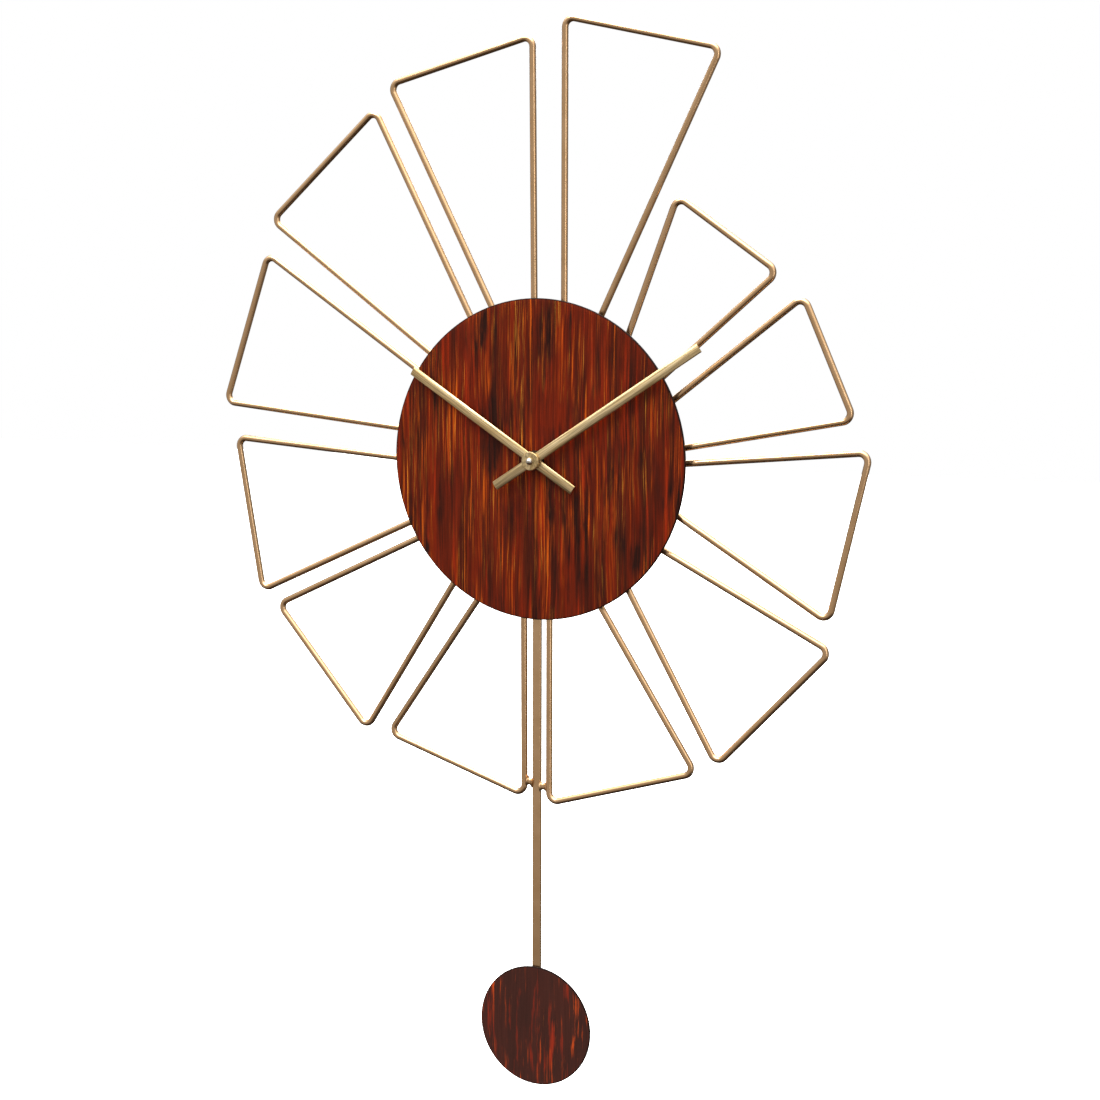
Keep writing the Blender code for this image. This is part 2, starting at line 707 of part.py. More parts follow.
def third_wheel(brass, axis):
    """The wheel that the rotor drives, with the pinion that drives the centre wheel."""
    arbor_top = BRIDGE_LEVEL + BRIDGE_THICKNESS + PIVOT_REACH
    arbor = rod("third_wheel", THIRD_PIVOT_RADIUS, PIVOT_BACK, arbor_top, brass, sides=16)
    pinion_bottom = THIRD_LEVEL + WHEEL_THICKNESS / 2
    pinion_height = CENTRE_LEVEL + WHEEL_THICKNESS + 2 * PIVOT_REACH - pinion_bottom
    leaf_phase = meshing_phase(0, CENTRE_TEETH, THIRD_DIRECTION, LEAVES)
    joined(
        arbor,
        toothed(
            "third_wheel_layer",
            THIRD_TEETH, TRAIN_MODULE, 0, THIRD_LEVEL, WHEEL_THICKNESS, brass,
        ),
        toothed(
            "third_leaves_layer",
            LEAVES, TRAIN_MODULE, leaf_phase, pinion_bottom, pinion_height, brass,
        ),
    )
    place(arbor, axis)


def rotor(magnet, axis):
    """The magnet rotor of the stepping motor, with its pinion."""
    leaf_phase = meshing_phase(0, THIRD_TEETH, ROTOR_DIRECTION, LEAVES)
    spindle_top = MOTOR_LEVEL + ROTOR_PIVOT_HALF
    spindle = rod("rotor", ROTOR_PIVOT_RADIUS, PIVOT_BACK, spindle_top, magnet, sides=16)
    leaves_bottom = THIRD_LEVEL - PIVOT_REACH
    body_bottom = leaves_bottom + PINION_THICKNESS + 2 * PIVOT_REACH
    body_top = MOTOR_LEVEL + ROTOR_MAGNET_HALF
    joined(
        spindle,
        toothed(
            "rotor_leaves", LEAVES, TRAIN_MODULE, leaf_phase, leaves_bottom, PINION_THICKNESS, magnet
        ),
        rod("rotor_magnet", ROTOR_MAGNET_RADIUS, body_bottom, body_top, magnet, group=TOOLS),
    )
    place(spindle, axis)


def setting_knob(plastic, axis, phase):
    """The knob behind the movement that turns the hands, with its shaft and pinion."""
    grip = [
        polar((0, 0), radius, 360 * (groove + share) / KNOB_GROOVES)
        for groove in range(KNOB_GROOVES)
        for radius, share in ((KNOB_GROOVE_RADIUS, 0), (KNOB_RADIUS, 0.5))
    ]
    knob = plate("setting_knob", [grip], GAP, CASE_WALL + KNOB_FRONT, plastic)
    shaft_top = MOTION_LEVEL + PIVOT_REACH
    shaft = rod("knob_shaft", KNOB_SHAFT_RADIUS, CASE_WALL, shaft_top, plastic, group=TOOLS)
    leaves = toothed(
        "knob_leaves", CANNON_TEETH, MOTION_MODULE, phase, MOTION_LEVEL, PINION_THICKNESS, plastic
    )
    joined(knob, shaft, leaves)
    place(knob, axis)


# ---------------------------------------------------------------- movement
def front_case(plastic):
    """The tray of the movement: one room for the train and one for the battery."""
    width = INSIDE_HALF_WIDTH + CASE_WALL
    low = (-width, BAY_BOTTOM - CASE_WALL, CASE_WALL + GAP)
    high = (width, CHAMBER_TOP + CASE_WALL, CASE_FRONT)
    case = block("front_case", low, high, plastic)
    inside = INSIDE_HALF_WIDTH
    cut(
        case,
        block(
            "train_room", (-inside, PARTITION_TOP, 0), (inside, CHAMBER_TOP, CASE_INSIDE),
            plastic, TOOLS,
        ),
        block("battery_room", (-inside, BAY_BOTTOM, 0), (inside, BAY_TOP, CASE_INSIDE), plastic, TOOLS),
        rod("bush_hole", BUSH_RADIUS + GAP, CASE_INSIDE - MM, CASE_FRONT + MM, plastic, group=TOOLS),
    )
    place(case, PLAN)


def rear_cover(plastic):
    """The flat cover against the wall, open over the battery and round the setting knob."""
    width = INSIDE_HALF_WIDTH + CASE_WALL
    edge = rectangle(-width, width, BAY_BOTTOM - CASE_WALL, CHAMBER_TOP + CASE_WALL)
    battery_window = rectangle(-INSIDE_HALF_WIDTH, INSIDE_HALF_WIDTH, BAY_BOTTOM, BAY_TOP)
    knob_hole = circle(KNOB_RADIUS + 2 * GAP, 32, KNOB_AXIS)
    place(plate("rear_cover", [edge, battery_window, knob_hole], 0, CASE_WALL, plastic), PLAN)


def train_bridge(plastic):
    """The plate that holds the front pivots, on four posts from the front of the case."""
    left = -(CENTRE_WHEEL_RADIUS + 0.4 * MM)
    right = INSIDE_HALF_WIDTH - GAP
    bottom = PARTITION_TOP + GAP
    top = ROTOR_AXIS[1] - 5.5 * MM
    holes = [
        circle(ARBOR_RADIUS + RUNNING_GAP, 24, HAND_AXIS),
        circle(THIRD_PIVOT_RADIUS + RUNNING_GAP, 16, THIRD_AXIS),
        circle(MINUTE_PIVOT_RADIUS + RUNNING_GAP, 16, MINUTE_WHEEL_AXIS),
        circle(KNOB_SHAFT_RADIUS + RUNNING_GAP, 16, KNOB_AXIS),
    ]
    outline = rectangle(left, right, bottom, top)
    bridge = plate(
        "train_bridge", [outline] + holes, BRIDGE_LEVEL, BRIDGE_LEVEL + BRIDGE_THICKNESS, plastic
    )
    inset = BRIDGE_POST_INSET
    post_bottom = BRIDGE_LEVEL + BRIDGE_THICKNESS / 2
    posts = [
        rod(
            f"bridge_post_{index}", BRIDGE_POST_RADIUS, post_bottom, CASE_INSIDE - GAP, plastic,
            centre=(x, y), sides=12, group=TOOLS,
        )
        for index, (x, y) in enumerate(
            (x, y) for x in (left + inset, right - inset) for y in (bottom + inset, top - inset)
        )
    ]
    joined(bridge, *posts)
    place(bridge, PLAN)


def threaded_bush(brass):
    """The bush that carries the dial, with its flange inside the case."""
    flange_top = CASE_INSIDE - GAP
    profile = [
        (BUSH_BORE, BUSH_FRONT),
        (BUSH_RADIUS, BUSH_FRONT),
        (BUSH_RADIUS, flange_top),
        (BUSH_FLANGE_RADIUS, flange_top),
        (BUSH_FLANGE_RADIUS, flange_top - BUSH_FLANGE_HEIGHT),
        (BUSH_BORE, flange_top - BUSH_FLANGE_HEIGHT),
    ]
    place(turned("threaded_bush", profile, brass, closed=True), PLAN)


def dial_clamp(rubber, brass):
    """The washers and the nut that clamp the dial to the movement."""
    hole = circle(BUSH_RADIUS + GAP)
    rubber_top = RUBBER_BACK + RUBBER_THICKNESS
    pad = circle(RUBBER_WASHER_RADIUS)
    place(plate("rubber_washer", [pad, hole], RUBBER_BACK, rubber_top, rubber), PLAN)
    washer_top = WASHER_BACK + BRASS_WASHER_THICKNESS
    rim = circle(BRASS_WASHER_RADIUS)
    place(plate("brass_washer", [rim, hole], WASHER_BACK, washer_top, brass), PLAN)
    nut_top = NUT_BACK + HEX_NUT_HEIGHT
    place(plate("hex_nut", [hexagon(HEX_NUT_FLATS), hole], NUT_BACK, nut_top, brass), PLAN)


def hanger_plate(steel):
    """The bent strap on the bush, with the keyhole for the wall nail above the case."""
    case_top = CHAMBER_TOP + CASE_WALL
    front = HANGER_BACK
    thick = HANGER_THICKNESS
    back = HANGER_SETBACK
    knee = case_top + HANGER_KNEE_RISE
    heel = case_top + HANGER_HEEL_RISE
    crest = heel + HANGER_CREST_RISE
    slope = math.hypot(heel - knee, front - back)
    lift = thick * (slope - (heel - knee)) / (front - back)
    section = [
        (-HANGER_TAIL, front),
        (knee, front),
        (heel, back),
        (crest, back),
        (crest, back + thick),
        (heel + lift, back + thick),
        (knee + lift, front + thick),
        (-HANGER_TAIL, front + thick),
    ]
    mesh = plate_mesh("hanger_plate", [section], -HANGER_WIDTH / 2, HANGER_WIDTH / 2)
    edit = bmesh.new()
    edit.from_mesh(mesh)
    for vert in edit.verts:
        up, height, across = vert.co
        vert.co = (across, up, height)
    bmesh.ops.recalc_face_normals(edit, faces=edit.faces)
    edit.to_mesh(mesh)
    edit.free()
    strap = mesh_object("hanger_plate", mesh, steel)
    mouth = (0, heel + KEYHOLE_MOUTH_RISE)
    neck = (0, heel + KEYHOLE_NECK_RISE)
    slot = KEYHOLE_SLOT_RADIUS
    low = (-slot, mouth[1], -2 * MM)
    high = (slot, neck[1], 3 * MM)
    keyhole = block("keyhole_slot", low, high, steel, TOOLS)
    cut(
        strap,
        rod("strap_hole", BUSH_RADIUS + GAP, front - MM, front + thick + MM, steel, group=TOOLS),
        rod("keyhole_mouth", KEYHOLE_RADIUS, -2.5 * MM, 3.5 * MM, steel, centre=mouth, group=TOOLS),
        keyhole,
        rod("keyhole_neck", slot, -2.2 * MM, 3.2 * MM, steel, centre=neck, sides=16, group=TOOLS),
    )
    place(strap, PLAN)


def lying(obj, centre):
    """Lays a piece that was turned about the height axis along X, at this centre."""
    obj.parent = PLAN
    obj.location = centre
    obj.rotation_euler = (0, math.pi / 2, 0)
    return obj


def battery_and_contacts(label, nickel):
    """One AA cell, the plate at its cap and the spring on its own plate at its base."""
    radius = BATTERY_DIAMETER / 2
    height = BATTERY_WALL_SPACE + radius
    plate_thickness = 0.5 * MM
    plus_face = INSIDE_HALF_WIDTH - GAP - plate_thickness
    cap = plus_face - GAP
    base = cap - BATTERY_LENGTH
    nub = 1.4 * MM
    profile = [
        (0, cap),
        (CAP_RADIUS, cap),
        (CAP_RADIUS, cap - nub),
        (radius - 0.8 * MM, cap - nub),
        (radius, cap - nub - 0.8 * MM),
        (radius, base + 0.5 * MM),
        (radius - 0.5 * MM, base),
        (0, base),
    ]
    slide = axis_empty("battery_slide", (0, 0))
    lying(turned("battery", profile, label, steps=32), (0, BATTERY_Y, height)).parent = slide

    half = radius - 1 * MM
    low_z = CASE_WALL + 2 * GAP
    high_z = CASE_INSIDE - GAP
    plus_low = (plus_face, BATTERY_Y - half, low_z)
    plus_high = (plus_face + plate_thickness, BATTERY_Y + half, high_z)
    place(block("plus_contact", plus_low, plus_high, nickel), PLAN)
    minus_back = -INSIDE_HALF_WIDTH + GAP
    minus_face = minus_back + plate_thickness
    minus_low = (minus_back, BATTERY_Y - half, low_z)
    minus_high = (minus_face, BATTERY_Y + half, high_z)
    place(block("minus_contact", minus_low, minus_high, nickel), PLAN)

    spring_wire = 0.3 * MM
    start = minus_face + GAP + spring_wire
    end = base - GAP - spring_wire
    turns = 3
    per_turn = 12
    count = turns * per_turn
    coil = []
    for step in range(count + 1):
        share = step / count
        coil_radius = SPRING_BASE_RADIUS + (SPRING_TIP_RADIUS - SPRING_BASE_RADIUS) * share
        y, z = polar((BATTERY_Y, height), coil_radius, 360 * turns * share)
        coil.append((start + (end - start) * share, y, z))
    place(wire("battery_spring", coil, spring_wire, nickel, resolution=1), PLAN)


def circuit(board, metal, resin):
    """The circuit board, its timing crystal and the sealed chip."""
    right = -(CENTRE_WHEEL_RADIUS + 1.4 * MM)
    left = -INSIDE_HALF_WIDTH + GAP
    bottom = PARTITION_TOP + 2 * MM
    top = CENTRE_WHEEL_RADIUS
    level = THIRD_LEVEL + 0.4 * MM
    face = level + 1 * MM
    place(block("circuit_board", (left, bottom, level), (right, top, face), board), PLAN)
    middle = (left + right) / 2
    can = 1 * MM
    crystal = turned(
        "quartz_crystal",
        [(0, 3 * MM), (can * 0.8, 3 * MM), (can, 2.7 * MM), (can, -3 * MM), (0, -3 * MM)],
        metal,
        steps=16,
    )
    lying(crystal, (middle, top - 5 * MM, face + GAP + can))
    dome = 1.3 * MM
    spread = 2.8 * MM
    profile = [
        (spread * math.sin(angle), dome * math.cos(angle))
        for angle in (math.pi / 2 * step / 5 for step in range(6))
    ]
    chip = turned("chip", profile + [(0, 0)], resin, steps=20)
    place(chip, PLAN, (middle, bottom + 7 * MM, face + GAP))


def motor(iron, copper, plastic):
    """The stepping motor: a stator round the rotor, a core, and a coil on its bobbin."""
    sheet = 1 * MM
    low = MOTOR_LEVEL - sheet / 2
    high = MOTOR_LEVEL + sheet / 2
    rotor_x, rotor_y = ROTOR_AXIS
    block_left = rotor_x - 7 * MM
    block_right = rotor_x + 5 * MM
    block_top = rotor_y + STATOR_HALF - 0.2 * MM
    yoke_bottom = CENTRE_WHEEL_RADIUS + 1.2 * MM
    yoke_top = yoke_bottom + 2.4 * MM
    core_low = rotor_y - 1.5 * MM
    core_high = rotor_y + 1.5 * MM
    left = -INSIDE_HALF_WIDTH + 2 * MM
    column = left + 3 * MM
    outline = [
        (left, yoke_bottom),
        (block_right, yoke_bottom),
        (block_right, block_top),
        (block_left, block_top),
        (block_left, yoke_top),
        (column, yoke_top),
        (column, core_low - GAP),
        (left, core_low - GAP),
    ]
    rotor_hole = circle(3.2 * MM, 24, ROTOR_AXIS)
    place(plate("stator", [outline, rotor_hole], low, high, iron), PLAN)
    core_right = block_left - GAP
    core = block("coil_core", (left, core_low, low), (core_right, core_high, high), iron)
    place(core, PLAN)

    coil_left = column + 1 * MM
    coil_right = core_right - 1 * MM
    half_length = (coil_right - coil_left) / 2
    centre = ((coil_left + coil_right) / 2, rotor_y, MOTOR_LEVEL)
    flange = 0.8 * MM
    hub = 2.5 * MM
    rim = 3.9 * MM
    spool = turned(
        "coil_bobbin",
        [
            (0, half_length),
            (rim, half_length),
            (rim, half_length - flange),
            (hub, half_length - flange),
            (hub, flange - half_length),
            (rim, flange - half_length),
            (rim, -half_length),
            (0, -half_length),
        ],
        plastic,
        steps=24,
    )
    slot_half = ((core_high - core_low) / 2 + GAP, sheet / 2 + GAP)
    far = half_length + MM
    slot = block(
        "core_slot",
        (-slot_half[1], -slot_half[0], -far),
        (slot_half[1], slot_half[0], far),
        plastic,
        TOOLS,
    )
    cut(spool, slot)
    lying(spool, centre)
    winding_half = half_length - flange - GAP
    winding = turned(
        "coil_winding",
        [
            (hub + GAP, winding_half),
            (rim - 0.3 * MM, winding_half),
            (rim - 0.3 * MM, -winding_half),
            (hub + GAP, -winding_half),
        ],
        copper,
        steps=24,
        closed=True,
    )
    lying(winding, centre)


# ---------------------------------------------------------------- the clock
def build():
    gold = finish("gold_paint", (0.55, 0.36, 0.17), 0.35, 0.9)
    dial_paint = finish("dial_paint", (0.16, 0.03, 0.015), 0.35)
    disc_paint = finish("disc_paint", (0.07, 0.02, 0.018), 0.35)
    brass = finish("brushed_brass", (0.72, 0.58, 0.33), 0.35, 1)
    steel = finish("plated_steel", (0.6, 0.6, 0.6), 0.35, 1)
    black = finish("black_plastic", (0.02, 0.02, 0.022), 0.5)
    white = finish("white_plastic", (0.75, 0.74, 0.7), 0.5)
    rubber = finish("rubber", (0.03, 0.03, 0.03), 0.8)
    board = finish("circuit_board", (0.02, 0.12, 0.05), 0.5)
    copper = finish("enamelled_copper", (0.5, 0.16, 0.06), 0.4, 0.8)
    iron = finish("electrical_steel", (0.35, 0.35, 0.36), 0.45, 0.9)
    label = finish("battery_wrap", (0.02, 0.03, 0.05), 0.35)

    rays = [Ray(*row) for row in RAYS]
    studs = stud_points(rays)
    ray_frame(rays, gold)
    weld_ring(studs, gold)
    hanging_disc(rays, gold, disc_paint)
    dial_with_studs(studs, dial_paint, steel)

    minute_axis = axis_empty("minute_axis", HAND_AXIS)
    hour_axis = axis_empty("hour_axis", HAND_AXIS)
    hand_bar(
        "minute_hand", MINUTE_REACH, MINUTE_TAIL, MINUTE_HAND_BACK, MINUTE_BEARING,
        ARBOR_RADIUS + GAP, brass, minute_axis,
    )
    hand_bar(
        "hour_hand", HOUR_REACH, HOUR_TAIL, HOUR_HAND_BACK, HOUR_BEARING,
        HOUR_TUBE_RADIUS + GAP, brass, hour_axis,
    )
    hand_nut(brass, minute_axis)

    minute_phase = meshing_phase(0, CANNON_TEETH, MINUTE_WHEEL_DIRECTION, MINUTE_WHEEL_TEETH)
    knob_phase = meshing_phase(minute_phase, MINUTE_WHEEL_TEETH, KNOB_DIRECTION, CANNON_TEETH)
    minute_arbor(steel, minute_axis, 0, 0)
    hour_wheel(white, hour_axis, 0)
    minute_wheel(white, axis_empty("minute_wheel_axis", MINUTE_WHEEL_AXIS), minute_phase)
    third_wheel(white, axis_empty("third_axis", THIRD_AXIS))
    rotor(steel, axis_empty("rotor_axis", ROTOR_AXIS))
    setting_knob(white, axis_empty("knob_axis", KNOB_AXIS), knob_phase)

    front_case(black)
    rear_cover(black)
    train_bridge(white)
    threaded_bush(brass)
    dial_clamp(rubber, brass)
    hanger_plate(steel)
    battery_and_contacts(label, steel)
    circuit(board, steel, black)
    motor(iron, copper, white)


build()
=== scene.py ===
"""The looks of the sunburst wall clock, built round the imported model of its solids.

World axes: X to the right, Y into the wall, Z up. The wall is the plane Y = 0, the dial looks
towards -Y, and the axis of the hands is the line X = Z = 0. Lengths are in metres.
"""

import logging
import math
from collections.abc import Callable, Iterator, Sequence
from contextlib import contextmanager
from dataclasses import dataclass, field
from enum import Enum
from typing import Any

import bmesh
import bpy
from mathutils import Euler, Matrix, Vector


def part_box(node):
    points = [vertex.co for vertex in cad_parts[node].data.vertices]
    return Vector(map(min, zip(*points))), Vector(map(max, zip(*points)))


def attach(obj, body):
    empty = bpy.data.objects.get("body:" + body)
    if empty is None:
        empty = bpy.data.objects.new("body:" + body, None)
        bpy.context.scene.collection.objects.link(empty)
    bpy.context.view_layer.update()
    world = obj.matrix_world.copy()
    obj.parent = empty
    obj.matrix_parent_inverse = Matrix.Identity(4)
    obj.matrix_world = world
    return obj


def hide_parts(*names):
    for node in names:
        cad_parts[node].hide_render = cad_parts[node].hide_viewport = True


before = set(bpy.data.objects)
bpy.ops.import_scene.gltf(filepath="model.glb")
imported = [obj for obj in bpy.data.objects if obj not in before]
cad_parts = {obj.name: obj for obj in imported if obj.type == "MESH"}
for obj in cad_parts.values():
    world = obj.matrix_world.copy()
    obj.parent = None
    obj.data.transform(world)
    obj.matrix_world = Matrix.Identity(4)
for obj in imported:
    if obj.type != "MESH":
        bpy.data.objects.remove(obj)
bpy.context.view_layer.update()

MM = 0.001
SAME_POINT = 0.001 * MM
FRONT = Vector((0, -1, 0))
RIGHT = Vector((1, 0, 0))
LOG = logging.getLogger("sunburst_clock")


class Body(Enum):
    """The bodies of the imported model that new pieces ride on."""

    FRAME = "clock_frame"
    MINUTE = "minute_hand"
    HOUR = "hour_hand"
    KNOB = "setting_knob"
    BATTERY = "battery"


class Slot(Enum):
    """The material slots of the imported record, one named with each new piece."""

    GOLD = "gold_paint"
    DIAL = "dial_paint"
    DISC = "disc_paint"
    BRASS = "brushed_brass"
    STEEL = "plated_steel"
    NUT = "black_steel"
    BLACK = "black_plastic"
    WHITE = "white_plastic"
    RUBBER = "rubber"
    WRAP = "battery_wrap"


class Element(Enum):
    """What a selection in edit mode is made of."""

    VERT = "VERT"
    EDGE = "EDGE"
    FACE = "FACE"


# ---------------------------------------------------------------- finishes
def linear(code: str) -> tuple[float, float, float, float]:
    """Turns a colour as it is seen into the numbers a shader works with.

    Args:
        code: sRGB hex value, such as "#C89F6C".

    Returns:
        Linear red, green, blue and an alpha of one.
    """
    parts = (int(code[start : start + 2], 16) / 255 for start in (1, 3, 5))
    red, green, blue = (
        part / 12.92 if part <= 0.04045 else ((part + 0.055) / 1.055) ** 2.4 for part in parts
    )
    return (red, green, blue, 1.0)


def add_node(
    tree: bpy.types.NodeTree,
    kind: str,
    inputs: dict[Any, Any] | None = None,
    **settings: Any,
) -> bpy.types.Node:
    """Adds one node.

    Args:
        tree: The node tree that gets it.
        kind: The node's type.
        inputs: For each input's name or number, a value or the output that feeds it.
        **settings: The node's own properties.

    Returns:
        The new node.
    """
    made = tree.nodes.new(kind)
    for name, value in settings.items():
        setattr(made, name, value)
    for key, value in (inputs or {}).items():
        if isinstance(value, bpy.types.NodeSocket):
            tree.links.new(value, made.inputs[key])
        else:
            made.inputs[key].default_value = value
    return made


@dataclass(frozen=True)
class Finish:
    """A surface made of nodes. Each real finish below fills in what its own maker would do."""

    name: str

    def material(self) -> bpy.types.Material:
        """The Blender material, made the first time it is asked for."""
        found = bpy.data.materials.get(self.name)
        if found is not None:
            return found
        made = bpy.data.materials.new(self.name)
        made.use_nodes = True
        tree = made.node_tree
        shader = next(node for node in tree.nodes if node.type == "BSDF_PRINCIPLED")
        self.paint(tree, shader)
        return made

    def paint(self, tree: bpy.types.NodeTree, shader: bpy.types.Node) -> None:
        """Adds the finish's nodes to a new material.

        Args:
            tree: The material's node tree.
            shader: Its Principled BSDF, whose inputs the nodes feed.
        """
        raise NotImplementedError

    @staticmethod
    def grain(
        tree: bpy.types.NodeTree,
        size: tuple[float, float, float],
        detail: float = 2.0,
        turn: float = 0.0,
        at: bpy.types.NodeSocket | None = None,
        seed: float = 0.0,
        roughness: float = 0.5,
    ) -> bpy.types.NodeSocket:
        """Noise whose grains have a real size.

        Args:
            tree: The node tree.
            size: Width, depth and height of a grain, in metres.
            detail: How many finer layers lie on the first.
            turn: Degrees clockwise, seen from the front, that the grain leans from upright.
            at: Other coordinates than the object's own.
            seed: Moves the pattern, so that two layers differ.
            roughness: How strong the finer layers are.

        Returns:
            The noise value, from 0 to 1.
        """
        where = at or add_node(tree, "ShaderNodeTexCoord").outputs["Object"]
        mapping = add_node(
            tree,
            "ShaderNodeMapping",
            {"Vector": where, "Rotation": (0, math.radians(turn), 0), "Scale": size},
            vector_type="TEXTURE",
        )
        return add_node(
            tree,
            "ShaderNodeTexNoise",
            {
                "Vector": mapping.outputs[0],
                "W": seed,
                "Scale": 1.0,
                "Detail": detail,
                "Roughness": roughness,
            },
            noise_dimensions="4D",
        ).outputs["Fac"]

    @staticmethod
    def span(
        tree: bpy.types.NodeTree,
        value: bpy.types.NodeSocket,
        start: float,
        end: float,
        low: float = 0.0,
        high: float = 1.0,
    ) -> bpy.types.NodeSocket:
        """Stretches the part of a value between start and end over low to high."""
        return add_node(
            tree,
            "ShaderNodeMapRange",
            {"Value": value, "From Min": start, "From Max": end, "To Min": low, "To Max": high},
        ).outputs["Result"]

    @classmethod
    def spread(
        cls,
        tree: bpy.types.NodeTree,
        noise: bpy.types.NodeSocket,
        low: float = 0.0,
        high: float = 1.0,
    ) -> bpy.types.NodeSocket:
        """Stretches the part of its range that noise really covers, 0.3 to 0.7, over low to high."""
        return cls.span(tree, noise, 0.3, 0.7, low, high)

    @staticmethod
    def mixed(
        tree: bpy.types.NodeTree,
        share: bpy.types.NodeSocket | float,
        first: Any,
        second: Any,
        blend: str = "MIX",
    ) -> bpy.types.NodeSocket:
        """Mixes two colours.

        Args:
            tree: The node tree.
            share: How much of the second colour goes in, from 0 to 1.
            first: A hex value or an output.
            second: A hex value or an output.
            blend: The way of mixing.

        Returns:
            The mixed colour.
        """
        colours = [linear(one) if isinstance(one, str) else one for one in (first, second)]
        made = add_node(
            tree,
            "ShaderNodeMix",
            {0: share, 6: colours[0], 7: colours[1]},
            data_type="RGBA",
            blend_type=blend,
        )
        return made.outputs[2]

    @staticmethod
    def relief(
        tree: bpy.types.NodeTree,
        shader: bpy.types.Node,
        height: bpy.types.NodeSocket,
        depth: float,
    ) -> None:
        """Gives the shader a bump of this depth in metres."""
        bump = add_node(tree, "ShaderNodeBump", {"Height": height, "Distance": depth, "Strength": 1.0})
        tree.links.new(bump.outputs[0], shader.inputs["Normal"])


@dataclass(frozen=True)
class SatinGoldLacquer(Finish):
    """Champagne gold paint on steel wire: fine metal flakes under a satin lacquer."""

    name: str = "satin_gold_lacquer"
    gold: str = "#D2AC82"
    shade: str = "#C69F72"
    cloud: float = 14 * MM
    flake: float = 0.5 * MM
    flake_height: float = 0.0004 * MM
    gloss: tuple[float, float] = (0.2, 0.26)
    lacquer: float = 0.6
    lacquer_roughness: float = 0.16

    def paint(self, tree: bpy.types.NodeTree, shader: bpy.types.Node) -> None:
        """Thicker and thinner passes of the gun, with flakes that catch the light unevenly.

        Args:
            tree: The material's node tree.
            shader: Its Principled BSDF.
        """
        clouds = self.grain(tree, (self.cloud,) * 3, detail=3)
        # Real flakes are a twentieth of a millimetre. They are drawn coarser, so that they show.
        flakes = self.grain(tree, (self.flake,) * 3, detail=2, seed=3.0)
        share = self.span(tree, clouds, 0.35, 0.7)
        tone = self.mixed(tree, share, self.gold, self.shade)
        tree.links.new(tone, shader.inputs["Base Color"])
        shader.inputs["Metallic"].default_value = 1.0
        tree.links.new(self.spread(tree, flakes, *self.gloss), shader.inputs["Roughness"])
        shader.inputs["Coat Weight"].default_value = self.lacquer
        shader.inputs["Coat Roughness"].default_value = self.lacquer_roughness
        self.relief(tree, shader, flakes, self.flake_height)


